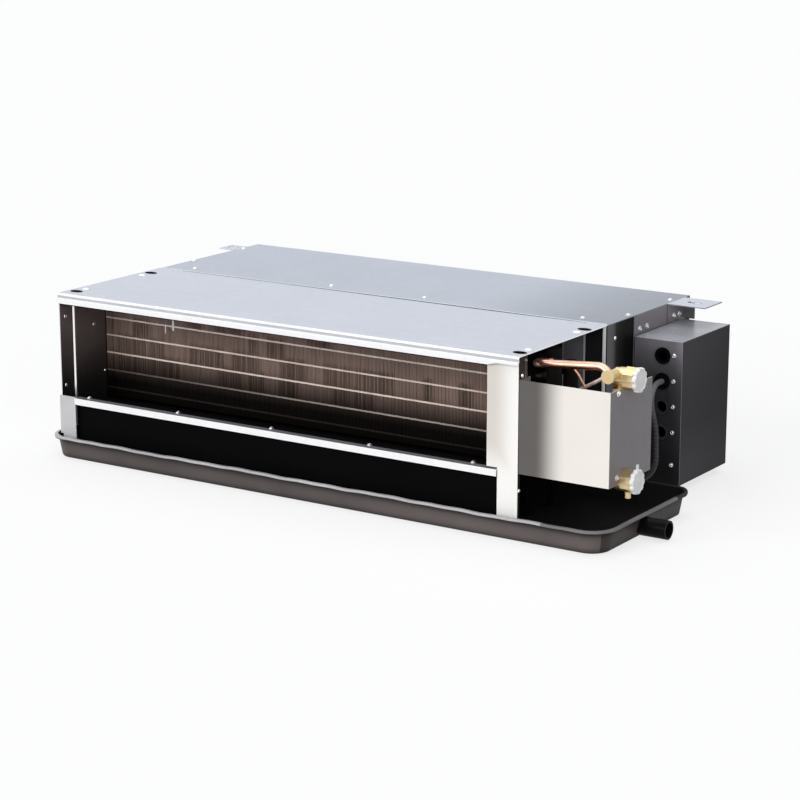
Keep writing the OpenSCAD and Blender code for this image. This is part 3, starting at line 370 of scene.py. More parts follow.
# White zinc that stands as painted highlight on front faces and edges, and a grey copy that stands as painted shade
# on the lip's upper band
zinc("sheet_lip", (0.94, 0.94, 0.945), (0.97, 0.97, 0.975), 0.02)
zinc("sheet_band_painted_shade", (0.51, 0.52, 0.545), (0.55, 0.56, 0.585), specular=0.3)
zinc("sheet_front", (0.80, 0.80, 0.81), (0.86, 0.86, 0.87))
zinc("sheet_plate", (0.52, 0.51, 0.52), (0.60, 0.59, 0.60))
post_sheet("post")
zinc("sheet_side", (0.56, 0.565, 0.60), (0.64, 0.645, 0.68), specular=0.3)
# Dark zinc that stands as painted shade on the bracket's right end, the box rail and the right hanger's sides
zinc("bracket_end", (0.19, 0.175, 0.19), (0.225, 0.21, 0.225), specular=0.25)
metal("bright_edge", (0.88, 0.88, 0.88), (0.96, 0.96, 0.96), (0.25, 0.4))
liner_coat("liner")
paint("grey_plate", (0.14, 0.138, 0.15), (0.18, 0.178, 0.192))
# Near-black coat for the fan deck, which also stands as painted shade on the right post's flange and on front-facing
# faces at the rear of the front top sheet
paint("dark_plate", (0.012, 0.0115, 0.012), (0.019, 0.018, 0.0185), specular=0.12)
paint("charcoal", (0.026, 0.024, 0.028), (0.034, 0.032, 0.036), BOX_GLOSS, 0.14)
# Charcoal copies with painted light and shade: the front pale at the top as painted light, darker downwards and to
# the left as painted shade; the side darker as painted shade; the top and the cover's fold edge pale as painted
# highlights
paint("charcoal_front", (0.225, 0.212, 0.24), (0.272, 0.26, 0.288), BOX_GLOSS, 0.1, tones=BOX_FRONT_PAINTED_SHADE)
paint("charcoal_side", (0.054, 0.050, 0.058), (0.063, 0.059, 0.067), BOX_GLOSS, 0.03, tones=BOX_SIDE_PAINTED_SHADE)
paint("charcoal_top", (0.31, 0.315, 0.345), (0.36, 0.365, 0.40), (0.24, 0.34))
paint("charcoal_edge", (0.30, 0.295, 0.30), (0.38, 0.375, 0.38), (0.3, 0.4))
paint("side_shade", (0.15, 0.145, 0.147), (0.18, 0.174, 0.176), specular=0.04, dust_tone=0.0, tones=SIDE_TONES)
# Near-black coat that stands as painted shade on the front lower panel, the right end plate and the rear of the
# strip's top
paint("black_sheet", (0.0017, 0.0016, 0.002), (0.0026, 0.0024, 0.0028), (0.5, 0.7), 0.02, dust_tone=0.001)
# Pan coat with painted shade; the right end wall darker still as painted shade, and the rim pale as painted
# highlight, dimmer where that highlight thins out
paint("pan_coat", (0.128, 0.106, 0.104), (0.165, 0.139, 0.136), PAN_GLOSS, 0.16, tones=PAN_WALL_PAINTED_SHADE)
paint("pan_side", (0.062, 0.051, 0.050), (0.080, 0.067, 0.066), PAN_GLOSS, 0.08, tones=PAN_WALL_PAINTED_SHADE)
paint("pan_rim", (0.34, 0.33, 0.335), (0.46, 0.45, 0.455), (0.3, 0.45))
paint("pan_rim_dim_painted_highlight", (0.11, 0.105, 0.105), (0.19, 0.18, 0.18), (0.3, 0.5), 0.3)
paint("pan_lining", (0.004, 0.004, 0.004), (0.007, 0.006, 0.006), (0.45, 0.65), 0.06)
foam("foam", (0.006, 0.006, 0.006), (0.014, 0.013, 0.012))
fin_foil("fins")
metal("copper", (0.50, 0.25, 0.17), (0.72, 0.42, 0.31))
metal("brass", (0.52, 0.40, 0.20), (0.68, 0.55, 0.32), (0.3, 0.45))
metal("steel", (0.55, 0.56, 0.58), (0.78, 0.79, 0.81), (0.2, 0.36))
metal("wheel", (0.30, 0.31, 0.33), (0.46, 0.47, 0.49), (0.3, 0.45))
plastic("white_plastic", (0.76, 0.76, 0.75), (0.86, 0.86, 0.85), subsurface=0.1)
plastic("black_plastic", (0.003, 0.003, 0.003), (0.006, 0.006, 0.0065), specular=0.05)
plastic("rubber", (0.002, 0.002, 0.002), (0.004, 0.004, 0.004), (0.6, 0.8), 0.12, specular=0.02)
plastic("conduit", (0.105, 0.105, 0.11), (0.145, 0.145, 0.152), (0.4, 0.55), specular=0.2, tones=CONDUIT_PAINTED_SHADE)
plastic("net", (0.05, 0.052, 0.055), (0.085, 0.088, 0.092), (0.5, 0.7), 0.2)
bracket_sheet("bracket")
metal("thin_copper", (0.74, 0.58, 0.47), (0.90, 0.76, 0.64), (0.3, 0.45), scale=2.0, metallic=0.45)
tab_foil("fin_tabs")
metal("dark_copper", (0.030, 0.020, 0.017), (0.075, 0.045, 0.036), (0.4, 0.6))
paint("motor", (0.22, 0.23, 0.25), (0.28, 0.29, 0.31))

NODE_MATERIALS = {
    "sheet_top": ["top_panel_front", "hanger_left", "hanger_right"],
    "sheet_rear": ["top_panel_rear"],
    "sheet_plate": ["post_left"],
    "sheet_front": ["discharge_strip"],
    "post": ["post_right"],
    "bracket": ["piping_bracket"],
    "sheet_side": ["side_panel_left", "plenum_left", "plenum_bottom", "return_frame", "filter_rails",
                   "scroll_left", "scroll_right", "motor_cradle"],
    "bracket_end": ["box_plate"],
    "charcoal": ["box_base", "box_cover"],
    "dark_plate": ["fan_deck"],
    "side_shade": ["plenum_right"],
    "black_sheet": ["front_lower_panel", "end_plate_right"],
    "liner": ["liner_left"],
    "foam": ["header_supply", "header_return"],
    "pan_coat": ["drain_pan"],
    "fins": ["coil_fins", "end_plate_left"],
    "copper": ["coil_tubes", "pipe_upper", "pipe_lower", "bleed_tube"],
    "dark_copper": ["return_bends"],
    "brass": ["union_upper", "union_lower", "vent_body", "vent_knob", "drain_plug"],
    "steel": ["fan_shaft", "motor_bearings", "top_screws", "front_screws", "bracket_bolts", "box_screws",
              "hanger_screws"],
    "wheel": ["wheel_left", "wheel_right"],
    "white_plastic": ["cap_upper", "cap_lower"],
    "black_plastic": ["drain_spigot", "filter_frame", "terminal_block", "capacitor"],
    "rubber": ["motor_mounts", "grommets"],
    "conduit": ["motor_cable"],
    "net": ["filter_mesh"],
    "motor": ["motor_shell"],
}
for finish, names in NODE_MATERIALS.items():
    for name in names:
        NODES[name].data.materials.clear()
        NODES[name].data.materials.append(MATERIALS[finish])

# Material slots by first finish, and helpers for meshes

SHARP, SOFTEN_FROM = math.radians(28), math.radians(50)
FLAT = math.radians(0.4)


def piece(name, bm, finishes, body, replaced=()):
    """Turns a mesh in millimetres of the corner frame into a piece that rides on a body.

    The piece takes its slot from the first finish."""
    for vert in bm.verts:
        vert.co = place(*vert.co)
    bm.normal_update()
    for face in bm.faces:
        face.smooth = True
    for edge in bm.edges:
        if len(edge.link_faces) == 2 and edge.calc_face_angle(0) > SHARP:
            edge.smooth = False
    mesh = bpy.data.meshes.new(name)
    bm.to_mesh(mesh)
    bm.free()
    finishes = [finishes] if isinstance(finishes, str) else finishes
    for finish in finishes:
        mesh.materials.append(MATERIALS[finish])
    made = bpy.data.objects.new(name, mesh)
    bpy.context.scene.collection.objects.link(made)
    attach(made, body)
    if replaced:
        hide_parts(*replaced)
    return made


def add_box(bm, low, high, material=0):
    corners = [bm.verts.new((x, y, z))
               for x in (low[0], high[0]) for y in (low[1], high[1]) for z in (low[2], high[2])]
    for ids in ((0, 1, 3, 2), (4, 6, 7, 5), (0, 4, 5, 1), (2, 3, 7, 6), (0, 2, 6, 4), (1, 5, 7, 3)):
        bm.faces.new([corners[i] for i in ids]).material_index = material


def add_loft(bm, loops, material=0, close_ends=True):
    """Skins closed loops of equally many points; material is one index, or a list with one for each loop."""
    rings = [[bm.verts.new(p) for p in loop] for loop in loops]
    indices = material if isinstance(material, list) else [material] * len(rings)
    n = len(rings[0])
    for ring, after, index in zip(rings, rings[1:], indices):
        for k in range(n):
            m = (k + 1) % n
            bm.faces.new((ring[k], ring[m], after[m], after[k])).material_index = index
    if close_ends:
        bm.faces.new(rings[0][::-1]).material_index = indices[0]
        bm.faces.new(rings[-1]).material_index = indices[-1]


def skins(*bodies):
    """A mesh with one closed skin for each list of loops."""
    bm = bmesh.new()
    for loops in bodies:
        add_loft(bm, loops)
    return bm


def circle(sides):
    """The angles of even steps around a circle."""
    return [2 * math.pi * k / sides for k in range(sides)]


def oval(x, y, z, half_x, half_y, sides):
    """A level oval loop."""
    return [(x + half_x * math.cos(a), y + half_y * math.sin(a), z) for a in circle(sides)]


def lathe_loops(at, axis, profile, sides, shape=None):
    """Loops around an axis: the profile lists (radius, height along the axis), and shape changes the radius."""
    axis = Vector(axis).normalized()
    side = axis.orthogonal().normalized()
    other = axis.cross(side)
    at = Vector(at)
    loops = []
    for i, (r, h) in enumerate(profile):
        loop = []
        for a in circle(sides):
            rr = shape(i, a, r) if shape else r
            loop.append(at + axis * h + (side * math.cos(a) + other * math.sin(a)) * rr)
        loops.append(loop)
    return loops


def rounded_route(points, bend, steps):
    """Straight runs joined by round bends."""
    points = [Vector(p) for p in points]
    out = [points[0]]
    for i in range(1, len(points) - 1):
        a, b, c = points[i - 1], points[i], points[i + 1]
        d, e = (b - a).normalized(), (c - b).normalized()
        turn = d.angle(e)
        if turn < 1e-4:
            out.append(b)
            continue
        n = d.cross(e).normalized()
        m = n.cross(d)
        centre = b - d * bend * math.tan(turn / 2) + m * bend
        for s in range(steps + 1):
            w = turn * s / steps
            out.append(centre - m * bend * math.cos(w) + d * bend * math.sin(w))
    out.append(points[-1])
    return out


def resample(points, step):
    """Points at even steps along a line of points."""
    out, carry = [points[0]], 0.0
    for a, b in zip(points, points[1:]):
        length = (b - a).length
        at = step - carry
        while at < length:
            out.append(a.lerp(b, at / length))
            at += step
        carry = length - (at - step)
    out.append(points[-1])
    return out


def tube_loops(points, radius, sides):
    """Loops along a line of points; radius is a number or a function of the loop's index."""
    tangents = []
    for i in range(len(points)):
        a = points[max(i - 1, 0)]
        b = points[min(i + 1, len(points) - 1)]
        tangents.append((b - a).normalized())
    side = tangents[0].orthogonal().normalized()
    loops = []
    for i, (p, t) in enumerate(zip(points, tangents)):
        side = (side - t * side.dot(t)).normalized()
        other = t.cross(side)
        r = radius(i) if callable(radius) else radius
        loops.append([p + (side * math.cos(a) + other * math.sin(a)) * r for a in circle(sides)])
    return loops


def tube(route, bend, bend_steps, step, radius, sides):
    """Loops along a route of straight runs and round bends."""
    return tube_loops(resample(rounded_route(route, bend, bend_steps), step), radius, sides)


def round_off(bm, edges, width, segments):
    bmesh.ops.bevel(bm, geom=edges, offset=width, segments=segments, profile=0.5, affect="EDGES", clamp_overlap=True)


def soften(bm, width, segments=2):
    """Rounds every sharp edge."""
    edges = [e for e in bm.edges if len(e.link_faces) == 2 and e.calc_face_angle(0) > SOFTEN_FROM]
    round_off(bm, edges, width, segments)


def split(bm, at, normal):
    """Splits the faces that a plane crosses."""
    bmesh.ops.bisect_plane(bm, geom=bm.verts[:] + bm.edges[:] + bm.faces[:], plane_co=at, plane_no=normal)


def refined(node, finish, bevel, folds=(), segments=2, paints=(), trim=None, merge=True):
    """A copy of a CAD node with rounded edges and folds, which stands for the node.

    folds lists (test of a fold's end points, width, segments).
    paints lists (finish, test of a face's centre and normal) for faces with another finish.
    trim cuts small shapes into the copy first. merge joins flat neighbouring faces."""
    bm = bmesh.new()
    bm.from_mesh(NODES[node].data)
    for layer in list(bm.loops.layers.uv.values()):
        bm.loops.layers.uv.remove(layer)
    for vert in bm.verts:
        vert.co = Vector((vert.co.x * 1000 + CORNER_X, vert.co.y * 1000 + CORNER_Y, vert.co.z * 1000))
    bmesh.ops.remove_doubles(bm, verts=bm.verts, dist=0.002)
    if merge:
        bmesh.ops.dissolve_limit(bm, angle_limit=FLAT, verts=bm.verts, edges=bm.edges)
    if trim:
        trim(bm)
    for chosen, width, steps in folds:
        edges = [e for e in bm.edges if all(chosen(v.co) for v in e.verts) and e.calc_face_angle(0) > 1]
        round_off(bm, edges, width, steps)
    if bevel:
        soften(bm, bevel, segments)
    bm.normal_update()
    for face in bm.faces:
        face.material_index = 0
        for k, (_, chosen) in enumerate(paints, 1):
            if chosen(face.calc_center_median(), face.normal):
                face.material_index = k
    finishes = [finish] + [paint_finish for paint_finish, _ in paints]
    made = piece(node + "_dressed", bm, finishes, NODES[node]["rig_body"], (node,))
    flat = made.modifiers.new("flat_faces", "WEIGHTED_NORMAL")
    flat.keep_sharp = True
    flat.weight = 100


# Cord and pipes

CABLE_R, CABLE_BEND, CABLE_STEP, CABLE_SIDES = 4.0, 32.0, 1.25, 14
CABLE_RIB = (0.0, 0.35, 0.55, 0.35)
CABLE_ROUTE = [(776, 328, 149), (776, 252, 149), (790, 250, 95), (792, 250, 24), (690, 250, 24), (646, 238, 8),
               (431, 238, 8), (385, 290, 8), (385, 290, 94)]
cable_points = resample(rounded_route(CABLE_ROUTE, CABLE_BEND, 10), CABLE_STEP)
ribbed = tube_loops(cable_points, lambda i: CABLE_R - CABLE_RIB[i % len(CABLE_RIB)], CABLE_SIDES)
conduit = piece("motor_conduit", skins(ribbed), "conduit", "casing", ("motor_cable",))

PIPE_R, PIPE_BEND, PIPE_SIDES = 5.2, 20.0, 32
COLLAR = [(PIPE_R, -7), (PIPE_R + 1.2, -6), (PIPE_R + 1.6, -3), (PIPE_R + 2.6, -0.6), (PIPE_R + 2.6, 0)]
PIPES = {
    "pipe_upper": [(721, 95.1, 208), (721, 83, 208), (721, 48, 213), (822.5, 44, 222), (834.5, 40, 212.5),
                   (842.5, 40, 212.5)],
    "pipe_lower": [(728.9, 147, 87), (755, 147, 87), (792.5, 40, 87), (842.5, 40, 87)],
}
for name, route in PIPES.items():
    bm = skins(tube(route, PIPE_BEND, 14, 2.0, PIPE_R, PIPE_SIDES))
    add_loft(bm, lathe_loops(route[-1], RIGHT, COLLAR, PIPE_SIDES), 1)
    piece(name + "_tube", bm, ["copper", "brass"], "casing", (name,))

BLEED_ROUTE = [(841.3, 13, 217.3), (824.5, 20, 207.5), (788.5, 58, 188.5), (750.5, 103, 168.5), (729.9, 103, 168.5)]
BLEED_R, BLEED_BEND = 2.2, 9
bleed = skins(tube(BLEED_ROUTE, BLEED_BEND, 10, 1.5, BLEED_R, 18))
piece("bleed_pipe", bleed, "thin_copper", "casing", ("bleed_tube",))

BALANCE_ROUTE = [(779, 45.6, 216.5), (786, 49, 206), (794, 52, 190), (797, 52, 120), (796, 46, 90)]
BALANCE_R, BALANCE_BEND = 1.6, 6
piece("balance_tube", skins(tube(BALANCE_ROUTE, BALANCE_BEND, 8, 1.5, BALANCE_R, 16)), "copper", "casing")

# Coil: one fin about every two millimetres, with spacer tabs folded forward at each tube

random.seed(7)
FIN_PITCH, FIN_T, FIN_ROWS = 2.12, 0.16, 24
FIN_Y0, FIN_Y1, FIN_Z0, FIN_Z1 = 92.0, 158.0, 70.5, 220.5
FIN_FIRST, FIN_LAST = 7.2, 689.4
FIN_EDGE, COMBED_EDGE, COMBED_BACK = 1.62, 0.5, 0.5
TUBE_LEVELS = [83 + 25 * k for k in range(6)]

# Fins left of the end plate stop in front of it, and the step over the plate is a little wider
PLATE_X, PLATE_STEP, SHORT_BACK = 19.4, 2.2, 95.8

# Groups of combed fins, each between two tubes: place along X, half width, level
COMBED_LEVELS, COMBED_HALF_H = (120.5, 120.5, 145.5, 145.5, 170.5, 195.5), 14
COMBED = [(random.uniform(15, 690), random.uniform(8, 30), random.choice(COMBED_LEVELS)) for _ in range(40)]


def combed_at(x, z):
    """How far the fins stand open at this place, from 0 to 1."""
    most = 0.0
    for at, half_width, level in COMBED:
        if abs(z - level) < COMBED_HALF_H:
            most = max(most, min(1.0, 2.5 * (1 - abs(x - at) / half_width)))
    return most


bm = bmesh.new()
x = FIN_FIRST
lean = 0.0
fin_places = []
while x < FIN_LAST:
    lean = 0.8 * lean + random.uniform(-0.16, 0.16)
    back = SHORT_BACK if x < PLATE_X - 1.0 else FIN_Y1
    open_fin = random.uniform(0.2, 1.0) if len(fin_places) % 2 else random.uniform(0.6, 1.15)
    trim_edge = random.uniform(-0.12, 0.12)
    loops = []
    for k in range(FIN_ROWS + 1):
        z = FIN_Z0 + (FIN_Z1 - FIN_Z0) * k / FIN_ROWS
        combed = min(1.0, combed_at(x, z) * open_fin)
        sway = lean * math.sin(k * 1.9 + x) * 0.25 + random.uniform(-0.05, 0.05)
        wide = FIN_EDGE + trim_edge + (COMBED_EDGE - FIN_EDGE) * combed
        front = FIN_Y0 + COMBED_BACK * combed
        neck = x + FIN_T + 0.5 * (wide - FIN_T)
        loops.append([(x + sway, front, z), (x + sway + wide, front, z), (neck, front + 0.7, z),
                      (x + FIN_T, front + 3.0, z), (x + FIN_T, back, z), (x, back, z), (x, front + 3.0, z)])
    add_loft(bm, loops)
    fin_places.append(x)
    x += PLATE_STEP if PLATE_X - 3.0 < x < PLATE_X - 1.0 else FIN_PITCH

# The rows of tabs lie a little under the tubes and fall towards the right
TAB_H, TAB_DROP, TAB_SLOPE = 1.05, 0.9, 2.8
for level in TUBE_LEVELS:
    for a in fin_places:
        dz = random.uniform(-0.12, 0.12) - TAB_DROP - TAB_SLOPE * a / FIN_LAST
        reach = random.uniform(-0.1, 0.15)
        add_box(bm, (a + FIN_T, FIN_Y0 - 0.45 - reach, level - TAB_H + dz),
                (a + FIN_PITCH - 0.12, FIN_Y0 + 1.2, level + TAB_H + dz), 1)

# Two strips on the fins, white as painted highlight: left edge, low end, high end, width
for at, low, high, wide in ((125.0, 176.0, 193.0, 3.2), (112.2, 170.5, 183.5, 1.9)):
    section = ((0, 0.5), (wide, 0.9), (wide, 0.6), (0, 0.1))
    add_loft(bm, [[(at + dx, FIN_Y0 - out, z) for dx, out in section] for z in (low, low + 2, high - 3, high)], 2)
piece("coil_pack", bm, ["fins", "fin_tabs", "sheet_lip"], "casing", ("coil_fins",))

# Drain pan with a rolled rim, a coated inside and soft corners

PAN_X0, PAN_X1, PAN_Y0, PAN_Y1 = -21.0, 859.0, -15.0, 223.8
PAN_R, PAN_R_REAR = 36.0, 20.0
CORNER_STEPS, SIDE_STEPS = 12, (24, 8, 110, 8)
FRONT_SIDE = 2

# Corners, anticlockwise from the rear right one: centre, first angle, radius
PAN_CORNERS = [
    (PAN_X1 - PAN_R_REAR, PAN_Y1 - PAN_R_REAR, 0, PAN_R_REAR),
    (PAN_X0 + PAN_R_REAR, PAN_Y1 - PAN_R_REAR, 90, PAN_R_REAR),
    (PAN_X0 + PAN_R, PAN_Y0 + PAN_R, 180, PAN_R),
    (PAN_X1 - PAN_R, PAN_Y0 + PAN_R, 270, PAN_R),
]
RISE, RISE_FROM_X, RISE_LONG_X, RISE_FROM_Y, RISE_LONG_Y = 2.4, 738, 14, 204, 18


def rim_wave(x):
    """How far the hand-coated front rim stands off a straight line, in millimetres."""
    return 0.3 * math.sin(x / 17 + 1.3) + 0.28 * math.sin(x / 7.9) + 0.3 * math.sin(x / 41 + 0.5)


def rear_rise(point):
    """How far the rim rises at the open rear right corner, in millimetres."""
    along = min(1.0, max(0.0, (point.x - RISE_FROM_X) / RISE_LONG_X))
    back = min(1.0, max(0.0, (point.y - RISE_FROM_Y) / RISE_LONG_Y))
    return RISE * along * back


def pan_loop(inset, z, uneven=0.0):
    """One loop of the pan; uneven is how much of the wave and the rise it takes."""
    arcs = []
    for cx, cy, start, r in PAN_CORNERS:
        rr = r - inset
        turns = [math.radians(start + 90 * k / CORNER_STEPS) for k in range(CORNER_STEPS + 1)]
        arcs.append([Vector((cx + rr * math.cos(a), cy + rr * math.sin(a), z)) for a in turns])
    loop = []
    for k, (arc, steps) in enumerate(zip(arcs, SIDE_STEPS)):
        start, end = arc[-1], arcs[(k + 1) % 4][0]
        side = [start.lerp(end, i / steps) for i in range(1, steps)]
        if k == FRONT_SIDE:
            for point in side:
                point.z += uneven * rim_wave(point.x)
        loop += arc + side
    for point in loop:
        point.z += uneven * rear_rise(point)
    return loop


# Inset and height, from the foot up the outside, over the rim and down the inside
PAN_PROFILE = [(15.5, 0.0), (13.2, 0.1), (11.6, 0.6), (10.5, 1.9), (9.9, 4.0), (6.2, 24.5), (5.6, 26.2), (4.6, 26.7),
               (1.6, 26.7), (0.5, 27.2), (0.0, 28.4), (0.0, 29.8), (0.5, 30.9), (1.5, 31.4), (3.0, 31.5), (5.0, 31.4),
               (6.2, 30.7), (6.9, 29.2), (11.4, 4.6), (12.2, 2.6), (13.6, 1.7), (15.8, 1.5)]
PAN_RIM_FROM, PAN_INSIDE_FROM = 10, 15
PAN_WAVE = range(8, 17)
PAN_FINISHES = ["pan_coat", "pan_lining", "pan_rim", "pan_rim_dim_painted_highlight", "pan_side"]
COAT, LINING, RIM, DIM_HIGHLIGHT, SIDE = range(5)

# The rim's painted highlight is dimmer at the front right end and along the right end, and the other hidden sides of
# the rim take the coat, without a painted highlight
DIM_FRONT_X, FRONT_Y, DIM_END_X, DIM_END_Y = 775, 20, 800, 170
bm = bmesh.new()
add_loft(bm, [pan_loop(inset, z, 1.0 if i in PAN_WAVE else 0.0) for i, (inset, z) in enumerate(PAN_PROFILE)],
         [COAT if i < PAN_RIM_FROM else RIM if i < PAN_INSIDE_FROM else LINING for i in range(len(PAN_PROFILE))])
bm.normal_update()
for face in bm.faces:
    middle = face.calc_center_median()
    # The right end wall is darker as painted shade, and the rim's painted highlight is dimmer or left out away from
    # the front.
    if face.material_index == COAT and face.normal.x > 0.75:
        face.material_index = SIDE
    elif face.material_index == RIM and middle.x > DIM_FRONT_X and middle.y < FRONT_Y:
        face.material_index = DIM_HIGHLIGHT
    elif face.material_index == RIM and middle.y > FRONT_Y and middle.x > 0:
        face.material_index = DIM_HIGHLIGHT if middle.x > DIM_END_X and middle.y < DIM_END_Y else COAT
piece("drain_tray", bm, PAN_FINISHES, "casing", ("drain_pan",))

# Screws: hexagon washer heads

HEAD_R, HEX_R, SCREW_SIDES = 4.0, 2.7, 36
HEX_RINGS, HEX_CORNER = (4, 5, 6), 1.13
SCREW_SIZE = {"box_screws": 0.8}


def hex_shape(i, angle, r):
    """Makes some loops of a screw hexagons with blunt corners; the others stay round."""
    if i not in HEX_RINGS:
        return r
    off = (angle + math.pi / 6) % (math.pi / 3) - math.pi / 6
    return min(r / math.cos(off), r * HEX_CORNER)


SCREW = [(2.0, -5.0), (2.0, 0.0), (HEAD_R - 0.1, 0.0), (HEAD_R, 0.45), (HEX_R + 0.1, 0.75), (HEX_R, 1.0),
         (HEX_R - 0.05, 1.9), (HEX_R - 0.35, 2.2), (1.7, 2.15), (1.3, 1.75), (0.4, 1.6)]
SCREWS = {
    "top_screws": [((x, 246, TOP_Z), UP) for x in (46, 284.7, 438, 682)]
    + [((x, y, TOP_Z), UP) for y in (294, 414) for x in (7, 723)],
    "front_screws": [((40 + 154.75 * i, 13, STRIP_Z), UP) for i in range(5)],
    "bracket_bolts": [((BRACKET_X, 23, z), RIGHT) for z in (197.5, 93)],
    "box_screws": [((792, BOX_Y0, z), FORWARD) for z in (184, 150, 116, 82, 38.5)],
    "hanger_screws": [((731.5, y, 211), RIGHT) for y in (409, 425)] + [((-1.5, y, 211), LEFT) for y in (409, 425)]
    + [((731, y, 210), RIGHT) for y in (312, 332)],
}
for name, places in SCREWS.items():
    profile = [(r * SCREW_SIZE.get(name, 1.0), h) for r, h in SCREW]
    heads = [lathe_loops(at, axis, profile, SCREW_SIDES, hex_shape) for at, axis in places]
    piece(name + "_hex", skins(*heads), "steel", "casing", (name,))

# Filter net: crossed threads

NET_X0, NET_X1, NET_Y, NET_Z0, NET_Z1 = 16.0, 713.0, 451.1, 16.5, 213.5
NET_STEP, NET_MARGIN, THREAD, THREAD_OVERLAP = 3.4, 1.2, 0.55, 0.1
bm = bmesh.new()
x = NET_X0 + NET_MARGIN
while x < NET_X1 - THREAD:
    add_box(bm, (x, NET_Y - THREAD, NET_Z0), (x + THREAD, NET_Y, NET_Z1))
    x += NET_STEP
z = NET_Z0 + NET_MARGIN
while z < NET_Z1 - THREAD:
    add_box(bm, (NET_X0, NET_Y - THREAD_OVERLAP, z), (NET_X1, NET_Y - THREAD_OVERLAP + THREAD, z + THREAD))
    z += NET_STEP
piece("filter_net", bm, "net", "filter", ("filter_mesh",))

# Rounded folds and edges on the sheet metal and the fittings

LIP_BOTTOM, LIP_TRIM, LIP_CUT_FROM, LIP_CUT_TO, LIP_CUT_Z = 215.0, 216.0, 686.0, 699.0, 219.2
LIP_FOLD_Z, BAND_Z, BAND_TILT = 223.5, 223.8, 0.06
SLOT_HALF_X, SLOT_HALF_Y = 8, 5
STRIP_DARK_FROM = 12.6


def near(a, b):
    return abs(a - b) < 0.03


def in_lift_slot(c):
    return c.z > TOP_Z - 2 and any(abs(c.x - x) < SLOT_HALF_X and abs(c.y - y) < SLOT_HALF_Y for x, y in LIFT_SLOTS)


def notch_lip(bm):
    """Trims the lip's lower edge and steps it up where it passes over the right post."""
    for x in (LIP_CUT_FROM, LIP_CUT_TO):
        split(bm, (x, 0, 0), RIGHT)
    for vert in bm.verts:
        if near(vert.co.z, LIP_BOTTOM) and vert.co.y < 2:
            vert.co.z = LIP_CUT_Z if vert.co.x > LIP_CUT_TO - 0.1 else LIP_TRIM


def split_strip(bm):
    """Splits the strip's flat top, so that its rear part can take a black painted shade."""
    split(bm, (0, STRIP_DARK_FROM, 0), (0, 1, 0))


# The lip's lower band, its rounded fold and the right edge are white as painted highlight, and the lip's upper band
# is grey as painted shade.
refined("top_panel_front", "sheet_top", 0.2, [
    (lambda c: near(c.y, 1.5) and near(c.z, TOP_Z), 2.9, 7),
    (lambda c: near(c.y, 0) and near(c.z, LIP_FOLD_Z), 0.9, 4),
    (lambda c: near(c.x, RIGHT_X) and near(c.z, TOP_Z) and c.y > 3, 0.9, 4),
], paints=[
    ("sheet_lip", lambda c, n: n.y < -0.15 and (c.z < BAND_Z or n.z > BAND_TILT) or n.x > 0.15 and c.x > RIGHT_X - 2),
    ("sheet_band_painted_shade", lambda c, n: n.y < -0.7 and c.z >= BAND_Z and n.z <= BAND_TILT),
    ("rubber", lambda c, n: abs(n.z) < 0.9 and in_lift_slot(c)),
    # front-facing faces at the rear are darkened as painted shade
    ("dark_plate", lambda c, n: n.y < -0.7 and c.y > 200),
], trim=notch_lip)
refined("top_panel_rear", "sheet_rear", 0.2)
# The bracket darkens along its fixed edge and at its right end as painted shade.
refined("piping_bracket", "bracket", 0.18, [(lambda c: near(c.x, BRACKET_X) and near(c.y, BRACKET_Y), 1.6, 5)],
        paints=[("bracket_end", lambda c, n: n.x > 0.6 and c.x > BRACKET_X - 0.5)])
# The post's right flange is darkened as painted shade.
refined("post_right", "post", 0.18, [(lambda c: near(c.x, POST_X1) and near(c.y, POST_Y), 0.9, 4),
                                     (lambda c: near(c.x, POST_X0) and near(c.y, POST_Y), 0.9, 4)],
        paints=[("dark_plate", lambda c, n: n.x > 0.6 and c.x > POST_X1 - 0.5)])
# The inner faces take the dark liner colour as painted shade.
refined("post_left", "sheet_plate", 0.18, paints=[("liner", lambda c, n: n.x > 0.5 and c.z > STRIP_Z - 1)])
refined("side_panel_left", "sheet_side", 0.18, paints=[("liner", lambda c, n: n.x > 0.5)])
refined("liner_left", "liner", 0.18)
# The strip's front faces are white as painted highlight, and its flat top takes painted shade, grey at the front and
# black behind.
refined("discharge_strip", "sheet_front", 0.15, [(lambda c: near(c.y, 1.5) and near(c.z, STRIP_Z), 0.9, 4)],
        paints=[("sheet_lip", lambda c, n: n.y < -0.2),
                ("grey_plate", lambda c, n: n.z > 0.8 and c.y < STRIP_DARK_FROM),
                ("black_sheet", lambda c, n: n.z > 0.8 and c.y > STRIP_DARK_FROM)], trim=split_strip)
# The right hanger's sides and lower part are darkened as painted shade.
refined("hanger_right", "sheet_top", 0.25, paints=[("bracket_end", lambda c, n: abs(n.x) > 0.5 or c.z < TOP_Z - 4)])
refined("hanger_left", "sheet_top", 0.25)
# The box's top and the cover's fold edge are pale as painted highlights, its front takes painted light and shade, and
# its side painted shade.
refined("box_base", "charcoal", 0, paints=[("charcoal_top", lambda c, n: n.z > 0.5 and c.z > 200),
                                           ("charcoal_front", lambda c, n: n.y < -0.5 and c.y < BOX_Y0 + 2)],
        merge=False)
# The box rail is darkened as painted shade.
refined("box_plate", "bracket_end", 0.15)
refined("box_cover", "charcoal", 0.2,
        [(lambda c: near(c.x, BOX_X) and (near(c.y, BOX_Y0) or near(c.y, BOX_Y1)), 1.4, 5)],
        paints=[("charcoal_edge", lambda c, n: n.x > 0.2 and abs(n.y) > 0.2),
                ("charcoal_front", lambda c, n: n.y < -0.5 and c.y < BOX_Y0 + 1),
                ("charcoal_side", lambda c, n: n.x > 0.95 and c.x > BOX_X - 0.5)], merge=False)
refined("grommets", "rubber", 0.2, paints=[("charcoal", lambda c, n: c.z < 130)])
for fitting in ("union_upper", "union_lower", "vent_body", "vent_knob", "drain_plug"):
    refined(fitting, "brass", 0.45, segments=3)

# Dust caps with finger scallops

